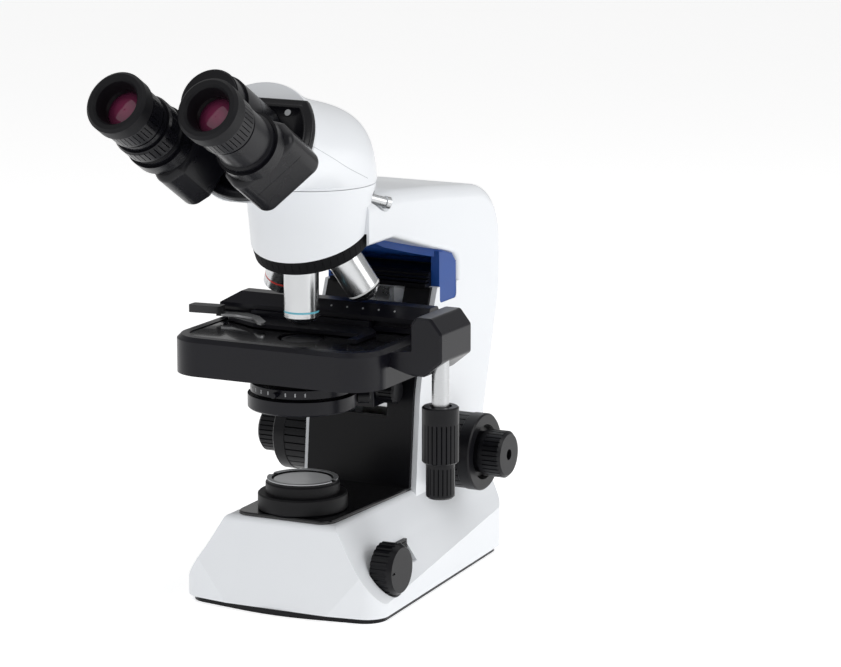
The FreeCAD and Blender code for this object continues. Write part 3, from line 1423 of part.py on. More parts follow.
def make_slide_holder():
    low = S.stage_top + S.slide_gap
    plate_top = low + S.holder_thick
    holder = Piece("slide_holder")
    back = S.bar_front - S.slide_gap
    holder.pad("XY", [outline(
        (-76, back), (-76, 29, 4), (-46, S.fence_y), (S.stop_x, S.fence_y), (S.stop_x, -6),
        (S.stop_x + 7, -6, 2),
        (S.stop_x + 7, 24, 4), (34, back))], low, plate_top)
    holder.pad("XY", [block(-60, back - 4, 34, back)], plate_top, S.groove_low + 3.3)
    holder.pad("XY", [block(-60, back, 34, S.bar_front + 3.6)], S.groove_low + 0.3, S.groove_low + 3.3)
    holder.cut("XY", [circle(S.finger_x, S.finger_y, S.finger_pin)], low - 1, plate_top + 1)
    finger = Piece("finger_form")
    start = plate_top + 0.2
    x, y = S.finger_x, S.finger_y
    finger.pad("XY", [outline(
        (x - 5, y + 4, 3), (x + 2, y + 5, 4), (x + 16, y - 2, 14), (x + 31, y - 19, 6), (x + 29, y - 24),
        (x + 25, y - 22),
        (x + 14, y - 9, 10), (x - 2, y - 5, 6), (x - 16, y - 8), (x - 16, y - 2))], start, start + 1.6)
    finger.pad("XY", [circle(x, y, S.finger_pin - 0.05)], low + 0.2, start)
    tab = Piece("finger_tab_form")
    tab.pad("XY", [outline((x - 37, y - 12, 2), (x - 13, y - 9, 2), (x - 13, y + 1, 2), (x - 37, y - 2, 2))],
            start + 1.6, start + 7)
    return holder, fused("slide_finger", finger, tab)


# Condenser under the stage
def make_condenser():
    holder = Piece("condenser_holder")
    low, high = S.holder_low, S.holder_high
    face = S.stage_rear - S.slide_gap
    holder.pad("XY", [outline((-S.guide_half - 6, face - 10), (S.guide_half + 6, face - 10),
                              (S.guide_half + 6, face),
                              (-S.guide_half - 6, face))], low - 8, high + 10)
    holder.pad("XY", [block(-S.guide_half, face - 1, S.guide_half, S.stage_rear + 3.6)], low - 8, high + 10)
    holder.pad("XY", [block(-S.guide_half - 6, S.condenser_radius, S.guide_half + 6, face - 9)], low,
               high + 3)
    holder.pad("XY", [circle(0, 0, S.holder_radius)], low, high + 3)
    holder.chamfer(1, lambda edge: abs(edge.BoundBox.ZMin - float(low)) < 1e-3
                   and edge.BoundBox.ZLength < 1e-3
                   and edge.BoundBox.YMin < -float(S.condenser_radius))
    holder.cut("XY", [circle(0, 0, S.condenser_radius + 0.06)], low - 10, high + 12)
    unit = Piece("condenser_form")
    inner = S.condenser_radius - 8
    unit.turn((0, low + 6), (inner - 8, low + 6), (inner - 6, low), (S.condenser_radius, low),
              (S.condenser_radius, S.iris_ring_high + 0.4),
              (inner + 4, S.iris_ring_high + 3), (inner - 4, S.condenser_top - 12),
              (S.condenser_tip, S.condenser_top),
              (S.condenser_tip - 3, S.condenser_top), (S.condenser_tip - 3, S.condenser_top - 1),
              (0, S.condenser_top - 1))
    lens = Piece("condenser_lens_form")
    lens.turn((0, S.condenser_top - 1), (S.condenser_tip - 3, S.condenser_top - 1),
              (S.condenser_tip - 3, S.condenser_top - 0.4),
              (0, S.condenser_top - 0.2))
    ring = Piece("aperture_ring")
    bore = S.condenser_radius + S.shaft_clearance
    ring.turn((bore, S.iris_ring_low), (S.iris_ring_radius - 0.6, S.iris_ring_low),
              (S.iris_ring_radius, S.iris_ring_low + 0.6),
              (S.iris_ring_radius, S.iris_ring_high - 0.6), (S.iris_ring_radius - 0.6, S.iris_ring_high),
              (bore, S.iris_ring_high))
    ring.pad("XZ", [circle(0, (S.iris_ring_low + S.iris_ring_high) / 2, 2)], -S.iris_ring_radius - 6,
             -S.iris_ring_radius + 1)
    screw = Piece("condenser_screw")
    end = S.holder_radius
    screw.turn((0, end - 6), (2.4, end - 6), (2.4, end + 0.6), (S.screw_knob_radius, end + 0.6),
               (S.screw_knob_radius, end + 9),
               (S.screw_knob_radius - 1, end + 10), (0, end + 10))
    spot = FreeCAD.Placement(vec(0, 0, low + 5), turned_z(S.screw_angle) * ALONG_X)
    set_place(screw, spot)
    hole = Piece("screw_hole").turn((0, end - 6), (2.46, end - 6), (2.46, end + 4), (0, end + 4))
    set_place(hole, spot)
    holder.body.Label = "condenser_holder_form"
    knob = Piece("condenser_knob")
    half = S.channel_half - 0.6
    stem = S.pinion_bore - S.shaft_clearance
    knob.turn((0, half - 7.5), (stem, half - 7.5), (stem, half + 0.8), (S.lift_knob_radius, half + 0.8),
              (S.lift_knob_radius, half + 13), (S.lift_knob_radius - 1.5, half + 14.5), (0, half + 14.5))
    knob.cut("XY", [outline((S.lift_knob_radius - 0.8, 0), (S.lift_knob_radius + 1, -0.9),
                            (S.lift_knob_radius + 1, 0.9))],
             half + 3, half + 15).around(S.lift_knob_flutes)
    knob.place(0, S.knob_seat_y, S.knob_seat_z, ALONG_X)
    return minus("condenser_holder", holder, hole), fused("condenser_body", unit, lens), ring, screw, knob


MADE = [make_stand_frame(), make_base_plate(), make_rubber_feet(), make_deck_plate(), make_column_panel(),
        make_column_cap(), make_hand_grip(), *make_lamp(), make_power_inlet(), *make_switch(), make_dial(),
        make_focus_rail(), make_focus_bushings(), make_focus_slide(), make_coarse_shaft(),
        make_coarse_knob("right", ALONG_X), make_coarse_knob("left", AGAINST_X),
        make_right_fine_knob(), make_fine_knob("left", AGAINST_X), *make_turret(),
        make_objective("objective_forty", 0, S.objective_radius, S.long_barrel, 6.5, 2.4, 3),
        make_objective("objective_hundred", 1, S.objective_radius, S.long_barrel - 2, 6.0, 1.8, 4),
        make_objective("objective_ten", 2, S.objective_radius, S.short_barrel, 7.0, 1.5, 3.5),
        make_objective("objective_four", 3, S.objective_radius, S.short_barrel + 2, 9.0, 1.2, 2),
        *make_head(), *make_flange(), *make_eyetube("right", 1), *make_eyetube("left", -1),
        make_clamp_screw(),
        make_stage_bracket(), *make_stage_plate(), make_cross_bracket(), *make_cross_knobs(),
        make_guide_bar(),
        *make_slide_holder(), *make_condenser()]


def check_and_export():
    doc.recompute()
    for item in doc.Objects:
        if "Invalid" in item.State or "Error" in item.State:
            raise ValueError(f"{item.Label} is in a bad state: {item.State}")
    os.makedirs("parts", exist_ok=True)
    for item in MADE:
        item = whole(item)
        if item.Shape.isNull() or not item.Shape.isValid() or not item.Shape.Solids:
            raise ValueError(f"{item.Label} has no valid solid")
        item.Shape.exportStep(f"parts/{item.Label}.step")


check_and_export()
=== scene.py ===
import bmesh
import bpy
import math
from mathutils import Matrix, Vector


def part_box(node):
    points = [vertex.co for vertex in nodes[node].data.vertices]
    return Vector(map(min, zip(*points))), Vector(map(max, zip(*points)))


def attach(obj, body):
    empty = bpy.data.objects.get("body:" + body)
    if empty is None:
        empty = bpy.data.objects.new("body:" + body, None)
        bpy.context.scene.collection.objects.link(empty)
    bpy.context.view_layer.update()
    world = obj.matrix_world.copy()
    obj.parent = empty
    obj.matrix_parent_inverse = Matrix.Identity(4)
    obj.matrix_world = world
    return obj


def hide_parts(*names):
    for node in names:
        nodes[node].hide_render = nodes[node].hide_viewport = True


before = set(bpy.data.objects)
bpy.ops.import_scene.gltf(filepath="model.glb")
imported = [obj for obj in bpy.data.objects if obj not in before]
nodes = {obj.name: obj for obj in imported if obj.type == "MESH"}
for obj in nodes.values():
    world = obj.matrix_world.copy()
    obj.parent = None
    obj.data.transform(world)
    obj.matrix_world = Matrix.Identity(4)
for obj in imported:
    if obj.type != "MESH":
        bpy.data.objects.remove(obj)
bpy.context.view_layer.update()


# White enamel: the stand is one aluminium casting, and the head's body and cover match it.
# The paint is a satin spray coat with a faint orange-peel surface.
class Wire:
    """A socket whose arithmetic adds Math nodes."""

    def __init__(self, finish, socket):
        self.finish = finish
        self.socket = socket

    def joined(self, operation, other, swap=False):
        pair = [other, self] if swap else [self, other]
        return self.finish.add("ShaderNodeMath", {"operation": operation}, pair)

    def __add__(self, other):
        return self.joined("ADD", other)

    __radd__ = __add__

    def __sub__(self, other):
        return self.joined("SUBTRACT", other)

    def __rsub__(self, other):
        return self.joined("SUBTRACT", other, swap=True)

    def __mul__(self, other):
        return self.joined("MULTIPLY", other)

    __rmul__ = __mul__

    def __gt__(self, other):
        return self.joined("GREATER_THAN", other)

    def __lt__(self, other):
        return self.joined("LESS_THAN", other)


class Finish:
    """One material with its surface shader and its place on the piece."""

    def __init__(self, name, **constants):
        self.material = bpy.data.materials.new(name)
        self.material.use_nodes = True
        self.tree = self.material.node_tree
        self.surface = self.tree.nodes["Principled BSDF"]
        self.place = self.add("ShaderNodeTexCoord", {}, [], output="Object")
        for socket, value in constants.items():
            self.surface.inputs[socket.replace("_", " ")].default_value = value

    def add(self, kind, settings, values, output=0):
        node = self.tree.nodes.new(kind)
        for setting, value in settings.items():
            setattr(node, setting, value)
        pairs = values.items() if isinstance(values, dict) else enumerate(values)
        for socket, value in pairs:
            if isinstance(value, Wire):
                self.tree.links.new(value.socket, node.inputs[socket])
            else:
                node.inputs[socket].default_value = value
        return Wire(self, node.outputs[output])

    def feed(self, socket, wire):
        self.tree.links.new(wire.socket, self.surface.inputs[socket])

    def grain(self, scale, detail=4.0):
        settings = {"Vector": self.place, "Scale": scale, "Detail": detail}
        return self.add("ShaderNodeTexNoise", {}, settings, output="Fac")

    def blend(self, amount, first, second):
        mix = self.tree.nodes.new("ShaderNodeMix")
        mix.data_type = "RGBA"
        self.tree.links.new(amount.socket, mix.inputs["Factor"])
        for slot, colour in (("A", first), ("B", second)):
            socket = next(s for s in mix.inputs if s.name == slot and s.type == "RGBA")
            if isinstance(colour, Wire):
                self.tree.links.new(colour.socket, socket)
            else:
                socket.default_value = (*colour, 1.0)
        return Wire(self, next(s for s in mix.outputs if s.type == "RGBA"))

    def along(self, direction, start=(0.0, 0.0, 0.0)):
        """Distance along a direction from a start, in metres."""
        moved = self.add("ShaderNodeVectorMath", {"operation": "SUBTRACT"}, [self.place, start])
        pair = [moved, tuple(direction)]
        return self.add("ShaderNodeVectorMath", {"operation": "DOT_PRODUCT"}, pair, output="Value")

    def relief(self, height, strength, distance):
        bump = self.add("ShaderNodeBump", {}, {"Height": height, "Strength": strength, "Distance": distance})
        self.feed("Normal", bump)

    def wear(self, dark, light, rough_low, rough_high, scale):
        cloud = self.grain(scale)
        self.feed("Base Color", self.blend(cloud, dark, light))
        self.feed("Roughness", cloud * (rough_high - rough_low) + rough_low)
        return cloud


def coat(finish, *names):
    for name in names:
        mesh = nodes[name].data
        mesh.materials.clear()
        mesh.materials.append(finish.material)


enamel = Finish("white enamel", Coat_Weight=0.25, Coat_Roughness=0.12)
enamel.wear((0.79, 0.815, 0.85), (0.84, 0.86, 0.885), 0.28, 0.36, 9.0)
enamel.relief(enamel.grain(900.0, 2.0), 0.06, 0.0002)
coat(enamel, "stand_frame")


# Base fittings: a black pressed bottom plate, four rubber feet and a glossy black deck plate.
# The column front has a satin black cover with a slot for the stage bracket and a ribbed cap on top.
satin_black = Finish("satin black cover", Specular_IOR_Level=0.18, Coat_Weight=0.03, Coat_Roughness=0.15)
satin_black.wear((0.003, 0.003, 0.004), (0.006, 0.006, 0.008), 0.28, 0.38, 14.0)
satin_black.relief(satin_black.grain(1500.0, 2.0), 0.10, 0.0002)
coat(satin_black, "column_panel", "column_cap", "base_plate")
deck_black = Finish("glossy deck", Specular_IOR_Level=0.3, Coat_Weight=0.35, Coat_Roughness=0.05)
deck_black.wear((0.003, 0.003, 0.004), (0.006, 0.006, 0.007), 0.18, 0.28, 12.0)
coat(deck_black, "deck_plate")
rubber = Finish("black rubber", Specular_IOR_Level=0.15)
rubber.wear((0.003, 0.003, 0.004), (0.006, 0.006, 0.007), 0.62, 0.78, 30.0)
rubber.relief(rubber.grain(1200.0, 3.0), 0.15, 0.0002)
coat(rubber, "rubber_feet", "turret_rim")


# Carrying grip: a deep blue soft moulding under the upper arm, with a leg down each side of the column.
# It is snapped into the casting and has a fine leather-like grain.
grip_blue = Finish("blue grip", Specular_IOR_Level=0.4)
grip_blue.wear((0.006, 0.045, 0.230), (0.010, 0.075, 0.330), 0.36, 0.50, 20.0)
grip_blue.relief(grip_blue.grain(1400.0, 2.0), 0.12, 0.0002)
coat(grip_blue, "hand_grip")


# Illuminator: a turned black holder with a bright filter ring, screwed to the deck.
# A frosted field lens lies in it, over a plain lamp board inside the base.
BRIGHT_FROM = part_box("lamp_housing")[1][2] - 0.0006
lamp_black = Finish("lamp holder", Specular_IOR_Level=0.2)
lamp_black.wear((0.003, 0.003, 0.004), (0.007, 0.007, 0.008), 0.40, 0.55, 25.0)
ring_height = lamp_black.along((0.0, 0.0, 1.0))
bright = ring_height > BRIGHT_FROM
lamp_black.feed("Base Color", lamp_black.blend(bright, (0.005, 0.005, 0.006), (0.42, 0.43, 0.44)))
lamp_black.feed("Metallic", bright * 0.9)
coat(lamp_black, "lamp_housing")
frosted = Finish("frosted field lens", IOR=1.5, Coat_Weight=0.3, Coat_Roughness=0.1)
frosted.wear((0.50, 0.51, 0.52), (0.60, 0.61, 0.62), 0.30, 0.45, 60.0)
coat(frosted, "field_lens")
lamp_board = Finish("lamp board")
lamp_board.wear((0.55, 0.57, 0.55), (0.70, 0.71, 0.69), 0.45, 0.60, 80.0)
coat(lamp_board, "lamp_module")


# Controls: moulded matt black pieces, pressed or screwed on: light dial, rocker and inlet.
# The knobs of the focus drive, the stage drive and the condenser are the same moulding.
moulded = Finish("moulded black", Specular_IOR_Level=0.22)
moulded.wear((0.003, 0.003, 0.004), (0.007, 0.007, 0.009), 0.28, 0.40, 22.0)
moulded.relief(moulded.grain(1600.0, 2.0), 0.12, 0.0002)
coat(moulded, "brightness_dial", "power_switch", "switch_housing", "power_inlet", "right_coarse_knob",
     "left_coarse_knob", "right_fine_knob", "left_fine_knob", "y_knob", "x_knob", "condenser_knob",
     "condenser_screw")


# Steel parts: slides, shafts, pins and the turret are turned or ground and left bright.
# Their surface has a faint fine-grained bump.
steel = Finish("ground steel", Metallic=1.0)
steel.wear((0.46, 0.47, 0.48), (0.60, 0.61, 0.62), 0.22, 0.34, 40.0)
steel.relief(steel.grain(2500.0, 2.0), 0.05, 0.0001)
coat(steel, "focus_rail", "focus_slide", "focus_bushings", "coarse_shaft", "hinge_pin", "turret_pivot",
     "head_clamp_screw", "y_drive_tube", "turret")


# Objectives: satin chrome barrels screwed into the turret, each with its coloured power ring
# and a dark front mount. The bands follow the distance from the turret's apex along each barrel.
# Each row gives the barrel's station, its ring's distance and colour, and where its mount starts.
APEX = Vector((0.0, 0.0, 0.2931))
TURRET_LEAN = math.radians(23.0)
RING_HALF = 0.0007
DARK_RING_END = 0.0018
POWER_RINGS = {
    "objective_forty": (0, 0.0846, (0.16, 0.55, 0.68), 0.0914),
    "objective_hundred": (1, 0.0838, (0.75, 0.76, 0.76), 0.0894),
    "objective_ten": (2, 0.0765, (0.72, 0.60, 0.05), 0.0848),
    "objective_four": (3, 0.0780, (0.60, 0.05, 0.04), 0.0868),
}
for barrel, (station, ring_at, ring_colour, mount_at) in POWER_RINGS.items():
    lean = Matrix.Rotation(TURRET_LEAN, 3, "X")
    turned = lean @ Matrix.Rotation(math.radians(90.0 * station), 3, "Z")
    turned = turned @ Matrix.Rotation(-TURRET_LEAN, 3, "X")
    axis = turned @ Vector((0.0, 0.0, -1.0))
    chrome = Finish("chrome " + barrel, Metallic=1.0)
    far = chrome.along(axis, tuple(APEX))
    cloud = chrome.grain(60.0)
    ring = (far > ring_at - RING_HALF) * (far < ring_at + RING_HALF)
    mount = far > mount_at + 0.0002
    bare = chrome.blend(cloud, (0.56, 0.57, 0.58), (0.66, 0.67, 0.68))
    banded = chrome.blend(ring, bare, ring_colour)
    if barrel == "objective_hundred":
        dark = (far > ring_at + RING_HALF) * (far < ring_at + DARK_RING_END)
        banded = chrome.blend(dark, banded, (0.01, 0.01, 0.01))
    chrome.feed("Base Color", chrome.blend(mount, banded, (0.02, 0.02, 0.022)))
    chrome.feed("Metallic", 1 - mount * 0.5 - ring)
    chrome.feed("Roughness", cloud * 0.08 + 0.2)
    coat(chrome, barrel)


# Head shell: a white painted elbow on a round foot, swept back over the arm to the hinge face.
# Down each side, where the upper cover meets the body, a fine sloping crease is drawn as a thin line of
# painted shade.
HINGE = Vector((0.0, -0.0645, 0.3372))
ALONG_TUBES = Vector((0.0, -math.cos(math.radians(30.0)), math.sin(math.radians(30.0))))
UP_FLANGE = Vector((0.0, math.sin(math.radians(30.0)), math.cos(math.radians(30.0))))
RING_SIDES = 96
OVAL_STEPS = 28
FOOT_RADIUS = 0.046
FOOT_LOW_RADIUS = 0.0454
FOOT_Y = 0.0145
FOOT_LOW = 0.2974
FOOT_TOP = 0.2994
CHIN_DROP = 0.047
CROWN_RISE = 0.042
FACE_HALF = 0.046
BACK_BULGE = 0.066
CROWN_BULGE = 0.060
FACE_EDGE = 0.0008
CREASE_END = 0.012
CREASE_SHADE_HALF = 0.0002


def shell_ring(part, shrink=0.0):
    """One oval of the elbow, from the foot (0) to the hinge face (1)."""
    chin = HINGE - UP_FLANGE * CHIN_DROP
    crown = HINGE + UP_FLANGE * CROWN_RISE
    front = Vector((0.0, FOOT_Y - FOOT_RADIUS, FOOT_TOP))
    back = Vector((0.0, FOOT_Y + FOOT_RADIUS, FOOT_TOP))
    rest = 1.0 - part
    inner = front * rest + chin * part
    outer = back * rest ** 3 + (back + Vector((0.0, 0.0, BACK_BULGE))) * (3 * part * rest * rest)
    outer += (crown - ALONG_TUBES * CROWN_BULGE) * (3 * part * part * rest) + crown * part ** 3
    centre = (inner + outer) / 2
    reach = (outer - inner) / 2
    reach *= 1.0 - shrink / reach.length
    across = FOOT_RADIUS * rest + FACE_HALF * part - shrink
    ring = []
    for step in range(RING_SIDES):
        angle = 2 * math.pi * step / RING_SIDES
        point = centre + reach * math.cos(angle) + Vector((across * math.sin(angle), 0.0, 0.0))
        point.z = max(point.z, FOOT_LOW + 0.0002)
        ring.append(point)
    return ring


def skin(name, rings, finish, sharp=35.0):
    """A closed shell through rings of points, with a flat face at each end."""
    shell = bmesh.new()
    rows = [[shell.verts.new(point) for point in ring] for ring in rings]
    for low, high in zip(rows, rows[1:]):
        for step in range(len(low)):
            following = (step + 1) % len(low)
            shell.faces.new((low[step], low[following], high[following], high[step]))
    shell.faces.new(rows[0])
    shell.faces.new(rows[-1])
    bmesh.ops.recalc_face_normals(shell, faces=shell.faces)
    mesh = bpy.data.meshes.new(name)
    shell.to_mesh(mesh)
    shell.free()
    mesh.shade_smooth()
    mesh.set_sharp_from_angle(angle=math.radians(sharp))
    mesh.materials.append(finish.material)
    piece = bpy.data.objects.new(name, mesh)
    bpy.context.scene.collection.objects.link(piece)
    return piece


shell_enamel = Finish("head enamel", Coat_Weight=0.25, Coat_Roughness=0.12)
cloud = shell_enamel.grain(9.0)
# painted shade: a thin darker grey line along a sloping plane on the elbow's sides, in place of the crease's
# shadow
crease_offset = shell_enamel.along((0.0, 0.384, 0.923), (0.0, CREASE_END, 0.3028))
before_foot = shell_enamel.along((0.0, 1.0, 0.0)) < CREASE_END
crease_shade = (crease_offset > -CREASE_SHADE_HALF) * (crease_offset < CREASE_SHADE_HALF) * before_foot
paint = shell_enamel.blend(cloud, (0.79, 0.815, 0.85), (0.84, 0.86, 0.885))
shell_enamel.feed("Base Color", shell_enamel.blend(crease_shade, paint, (0.42, 0.44, 0.47)))
shell_enamel.feed("Roughness", cloud * 0.08 + 0.28)
shell_enamel.relief(shell_enamel.grain(900.0, 2.0), 0.06, 0.0002)
foot = []
for level in (FOOT_LOW, FOOT_TOP):
    ring = []
    for step in range(RING_SIDES):
        angle = 2 * math.pi * step / RING_SIDES
        across = FOOT_LOW_RADIUS * math.sin(angle)
        ring.append(Vector((across, FOOT_Y + FOOT_LOW_RADIUS * math.cos(angle), level)))
    foot.append(ring)
ovals = [shell_ring(step / OVAL_STEPS) for step in range(OVAL_STEPS)]
face_edge = [shell_ring(0.992), shell_ring(1.0, FACE_EDGE)]
head_shell = skin("head_shell", [*foot, *ovals, *face_edge], shell_enamel)
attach(head_shell, "head")
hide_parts("head_body", "head_cover")


# Hinge flange: a turned black plate on the elbow's face, cut flat on top, with a raised bead
# round a sunk centre. Two socket screws hold it.
FLANGE_RADIUS = 0.045
FLANGE_FLAT = 0.0285
FLANGE_SIDES = 120


def flange_ring(height, inset):
    """The plate's outline at a height over the elbow's face: a circle cut flat on top."""
    ring = []
    for step in range(FLANGE_SIDES):
        angle = 2 * math.pi * step / FLANGE_SIDES
        across = (FLANGE_RADIUS - inset) * math.sin(angle)
        rise = min((FLANGE_RADIUS - inset) * math.cos(angle), FLANGE_FLAT - inset)
        ring.append(HINGE + Vector((across, 0.0, 0.0)) + UP_FLANGE * rise + ALONG_TUBES * height)
    return ring


flange_black = Finish("flange black", Specular_IOR_Level=0.3, Coat_Weight=0.1, Coat_Roughness=0.08)
flange_black.wear((0.003, 0.003, 0.004), (0.006, 0.006, 0.009), 0.18, 0.28, 18.0)
# height over the elbow's face and distance in from the rim, from the face to the sunk centre
profile = [(0.0, 0.0), (0.0040, 0.0), (0.0046, 0.0003), (0.0050, 0.0010), (0.0050, 0.0034), (0.0057, 0.0044),
           (0.0060, 0.0056), (0.0057, 0.0068), (0.0048, 0.0078), (0.0048, 0.0140)]
rings = [flange_ring(height, inset) for height, inset in profile]
hinge_plate = skin("hinge_plate", rings, flange_black, 50.0)
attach(hinge_plate, "head")
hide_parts("hinge_flange")


# Head: two black prism housings swing on a flanged hinge, each with its eyetube and eyepiece.
# They are moulded satin black; the eye guards are rubber, and the eye lenses have a purple coating whose
# reflection is painted as purple, lighter at the centre and dark towards the rim.
tube_black = Finish("eyetube black", Specular_IOR_Level=0.22, Coat_Weight=0.05, Coat_Roughness=0.1)
tube_black.wear((0.003, 0.003, 0.004), (0.006, 0.006, 0.009), 0.22, 0.32, 18.0)
tube_black.relief(tube_black.grain(1700.0, 2.0), 0.08, 0.0002)
coat(tube_black, "right_prism_housing", "left_prism_housing", "right_eyetube", "left_eyetube",
     "right_eyepiece", "left_eyepiece", "dioptre_ring")
guard_rubber = Finish("eye guard rubber", Specular_IOR_Level=0.2)
guard_rubber.wear((0.003, 0.003, 0.004), (0.006, 0.006, 0.008), 0.45, 0.58, 35.0)
coat(guard_rubber, "right_eye_guard", "left_eye_guard")
REFLECTION_RADIUS = 0.0135
for side in ("right", "left"):
    coated = Finish(side + " coated lens", IOR=1.52, Coat_Weight=1.0, Coat_Roughness=0.02)
    low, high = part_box(side + "_eye_lens")
    centre = (Vector(low) + Vector(high)) / 2
    pair = [coated.place, tuple(centre)]
    offset = coated.add("ShaderNodeVectorMath", {"operation": "DISTANCE"}, pair, output="Value")
    # painted reflection: the lens colour runs from a lighter purple at the centre to dark purple at the rim
    reflection_falloff = offset * (1 / REFLECTION_RADIUS)
    coated.feed("Base Color", coated.blend(reflection_falloff, (0.30, 0.035, 0.11), (0.05, 0.008, 0.025)))
    coated.feed("Roughness", coated.grain(90.0) * 0.04 + 0.04)
    coat(coated, side + "_eye_lens")


# Stage: a black plate casting with a hard glossy top, a guide bar, a drive bracket and a slide holder.
# The bracket and carriage carry it on the column; the spring finger is bright with a black tab.
stage_black = Finish("stage black", Specular_IOR_Level=0.22, Coat_Weight=0.05, Coat_Roughness=0.1)
stage_black.wear((0.003, 0.003, 0.005), (0.006, 0.006, 0.010), 0.24, 0.34, 16.0)
stage_black.relief(stage_black.grain(1300.0, 2.0), 0.08, 0.0002)
coat(stage_black, "stage_plate", "guide_bar", "drive_bracket", "stage_bracket", "slide_holder",
     "condenser_holder", "condenser_body", "aperture_ring")
tray_gloss = Finish("stage tray", Specular_IOR_Level=0.3, Coat_Weight=0.4, Coat_Roughness=0.04)
tray_gloss.wear((0.003, 0.003, 0.004), (0.006, 0.006, 0.007), 0.10, 0.18, 20.0)
coat(tray_gloss, "stage_surface")
finger_finish = Finish("finger and tab")
TAB_FROM = -0.0785
tab = finger_finish.along((1.0, 0.0, 0.0)) < TAB_FROM
finger_finish.feed("Base Color", finger_finish.blend(tab, (0.60, 0.61, 0.62), (0.02, 0.02, 0.022)))
finger_finish.feed("Metallic", 1 - tab)
finger_finish.feed("Roughness", finger_finish.grain(80.0) * 0.1 + 0.25 + tab * 0.2)
coat(finger_finish, "slide_finger")


# Small fittings: socket screws hold the hinge flange, white dots mark the guide bar,
# and white ticks mark the aperture ring. Each kind is one stud, repeated at its places.
def stud_tree():
    tree = bpy.data.node_groups.new("studs", "GeometryNodeTree")
    side = tree.interface
    side.new_socket("Geometry", in_out="INPUT", socket_type="NodeSocketGeometry")
    side.new_socket("Radius", in_out="INPUT", socket_type="NodeSocketFloat")
    side.new_socket("Depth", in_out="INPUT", socket_type="NodeSocketFloat")
    side.new_socket("Turn", in_out="INPUT", socket_type="NodeSocketVector")
    side.new_socket("Material", in_out="INPUT", socket_type="NodeSocketMaterial")
    side.new_socket("Geometry", in_out="OUTPUT", socket_type="NodeSocketGeometry")
    start = tree.nodes.new("NodeGroupInput")
    stud = tree.nodes.new("GeometryNodeMeshCylinder")
    stud.inputs["Vertices"].default_value = 18
    spread = tree.nodes.new("GeometryNodeInstanceOnPoints")
    real = tree.nodes.new("GeometryNodeRealizeInstances")
    paint = tree.nodes.new("GeometryNodeSetMaterial")
    end = tree.nodes.new("NodeGroupOutput")
    link = tree.links.new
    link(start.outputs["Radius"], stud.inputs["Radius"])
    link(start.outputs["Depth"], stud.inputs["Depth"])
    link(start.outputs["Geometry"], spread.inputs["Points"])
    link(stud.outputs["Mesh"], spread.inputs["Instance"])
    link(start.outputs["Turn"], spread.inputs["Rotation"])
    link(spread.outputs["Instances"], real.inputs["Geometry"])
    link(real.outputs["Geometry"], paint.inputs["Geometry"])
    link(start.outputs["Material"], paint.inputs["Material"])
    link(paint.outputs["Geometry"], end.inputs["Geometry"])
    return tree


STUDS = stud_tree()


def studs(name, places, direction, radius, depth, finish, body):
    """Puts one stud at each place, with its axis along the direction, as one plain mesh."""
    spots = bpy.data.meshes.new(name + "_spots")
    spots.from_pydata([tuple(p) for p in places], [], [])
    holder = bpy.data.objects.new(name + "_spots", spots)
    bpy.context.scene.collection.objects.link(holder)
    grow = holder.modifiers.new("studs", "NODES")
    grow.node_group = STUDS
    turn = Vector(direction).to_track_quat("Z", "Y").to_euler()
    settings = {"Radius": radius, "Depth": depth, "Turn": tuple(turn), "Material": finish.material}
    for socket in STUDS.interface.items_tree:
        if socket.in_out == "INPUT" and socket.name in settings:
            grow[socket.identifier] = settings[socket.name]
    bpy.context.view_layer.update()
    made = bpy.data.meshes.new_from_object(holder.evaluated_get(bpy.context.evaluated_depsgraph_get()))
    made.name = name
    piece = bpy.data.objects.new(name, made)
    bpy.context.scene.collection.objects.link(piece)
    bpy.data.objects.remove(holder)
    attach(piece, body)
    return piece


screw_steel = Finish("screw steel", Metallic=1.0)
screw_steel.wear((0.30, 0.31, 0.32), (0.44, 0.45, 0.46), 0.25, 0.4, 200.0)
SCREW_ACROSS = 0.0233
SCREW_RISE = 0.0184
SCREW_DEPTH = 0.0050
flange_spots = []
for across in (-SCREW_ACROSS, SCREW_ACROSS):
    place = HINGE + Vector((across, 0, 0)) + UP_FLANGE * SCREW_RISE + ALONG_TUBES * SCREW_DEPTH
    flange_spots.append(place)
screws = studs("flange_screws", flange_spots, ALONG_TUBES, 0.0023, 0.0016, screw_steel, "head")
white_mark = Finish("white mark")
white_mark.wear((0.30, 0.31, 0.32), (0.40, 0.41, 0.42), 0.4, 0.5, 300.0)
DOT_START = -0.012
DOT_PITCH = 0.0125
dot_spots = [(DOT_START + DOT_PITCH * step, 0.0431, 0.2047) for step in range(6)]
dots = studs("guide_bar_dots", dot_spots, (0.0, -0.8, 0.6), 0.0007, 0.0003, white_mark, "cross_bar")
low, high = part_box("aperture_ring")
RING_RADIUS = high[0]
TICK_HEIGHT = (low[2] + high[2]) / 2
TICK_PITCH = 11.0
TICK_START = 12.0
TICK_STACK = 0.0008
for step in range(-4, 5):
    degrees = TICK_PITCH * step - TICK_START
    angle = math.radians(degrees)
    outward = Vector((math.sin(angle), -math.cos(angle), 0.0))
    if abs(degrees) > 4:
        foot_of_tick = outward * RING_RADIUS
        spots = [foot_of_tick + Vector((0, 0, TICK_HEIGHT + TICK_STACK * rise)) for rise in (-1, 0, 1)]
        tick = studs(f"aperture_tick_{step + 5}", spots, outward, 0.0005, 0.0002, white_mark, "iris")


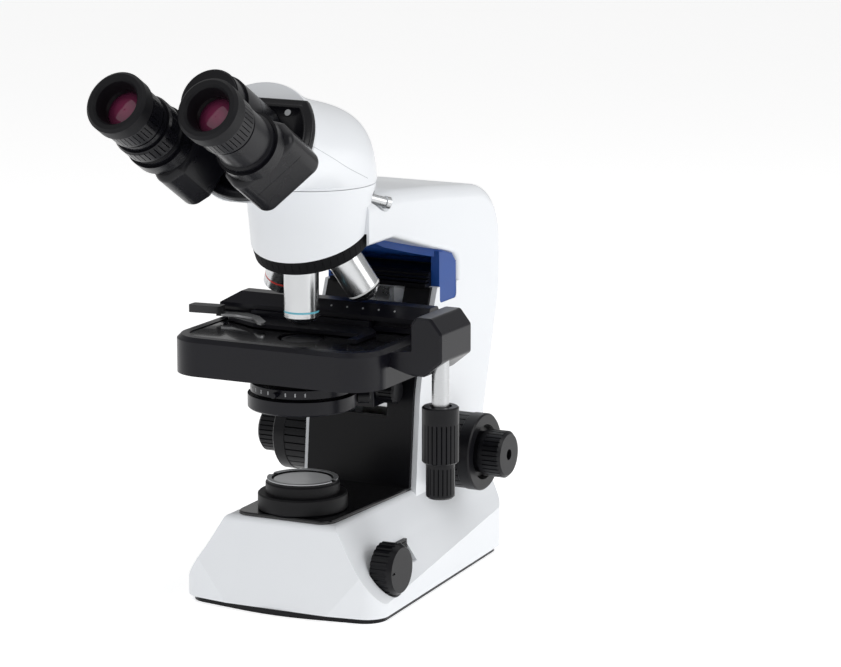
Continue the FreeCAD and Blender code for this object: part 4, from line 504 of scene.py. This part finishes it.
# Studio: a flat pale floor, three large soft lights and an even white surround.
# The camera stands where the photograph was taken from, to the right of the observer.
FLOOR_HALF = 4
floor_corners = [(-FLOOR_HALF, -FLOOR_HALF, 0), (FLOOR_HALF, -FLOOR_HALF, 0),
                 (FLOOR_HALF, FLOOR_HALF, 0), (-FLOOR_HALF, FLOOR_HALF, 0)]
floor_mesh = bpy.data.meshes.new("floor")
floor_mesh.from_pydata(floor_corners, [], [(0, 1, 2, 3)])
floor = bpy.data.objects.new("floor", floor_mesh)
bpy.context.scene.collection.objects.link(floor)
paper = Finish("pale paper")
paper.wear((0.93, 0.93, 0.93), (0.95, 0.95, 0.95), 0.7, 0.8, 2.0)
paper.surface.inputs["Emission Color"].default_value = (1.0, 1.0, 1.0, 1.0)
paper.surface.inputs["Emission Strength"].default_value = 0.5
floor_mesh.materials.append(paper.material)


def soft_light(name, place, target, size, power):
    lamp = bpy.data.lights.new(name, "AREA")
    lamp.shape = "RECTANGLE"
    lamp.size = size[0]
    lamp.size_y = size[1]
    lamp.energy = power
    thing = bpy.data.objects.new(name, lamp)
    thing.location = place
    thing.rotation_euler = (Vector(target) - Vector(place)).to_track_quat("-Z", "Y").to_euler()
    bpy.context.scene.collection.objects.link(thing)


CENTRE = (0.05, 0.0, 0.2)
soft_light("key", (-0.2, -1.7, 1.5), CENTRE, (1.0, 1.0), 7.0)
soft_light("side", (1.6, 0.2, 0.9), CENTRE, (1.0, 1.4), 10.0)
soft_light("top", (0.1, 0.5, 1.7), CENTRE, (1.6, 1.6), 5.0)
world = bpy.data.worlds.new("studio")
world.use_nodes = True
world.node_tree.nodes["Background"].inputs["Color"].default_value = (1.0, 1.0, 1.0, 1.0)
sky = world.node_tree.nodes["Background"].inputs["Strength"]
seen = world.node_tree.nodes.new("ShaderNodeLightPath")
level = world.node_tree.nodes.new("ShaderNodeMapRange")
level.inputs["To Min"].default_value = 0.45
level.inputs["To Max"].default_value = 1.0
world.node_tree.links.new(seen.outputs["Is Camera Ray"], level.inputs["Value"])
world.node_tree.links.new(level.outputs["Result"], sky)
bpy.context.scene.world = world
bpy.context.scene.view_settings.view_transform = "Standard"

camera = bpy.data.cameras.new("camera")
camera.sensor_width = 36.0
camera.lens = 157.67
eye = bpy.data.objects.new("camera", camera)
eye.location = (1.19946, -2.20118, 0.70208)
eye.rotation_euler = Vector((-0.4403, 0.8754, -0.1994)).to_track_quat("-Z", "Y").to_euler()
bpy.context.scene.collection.objects.link(eye)
bpy.context.scene.camera = eye
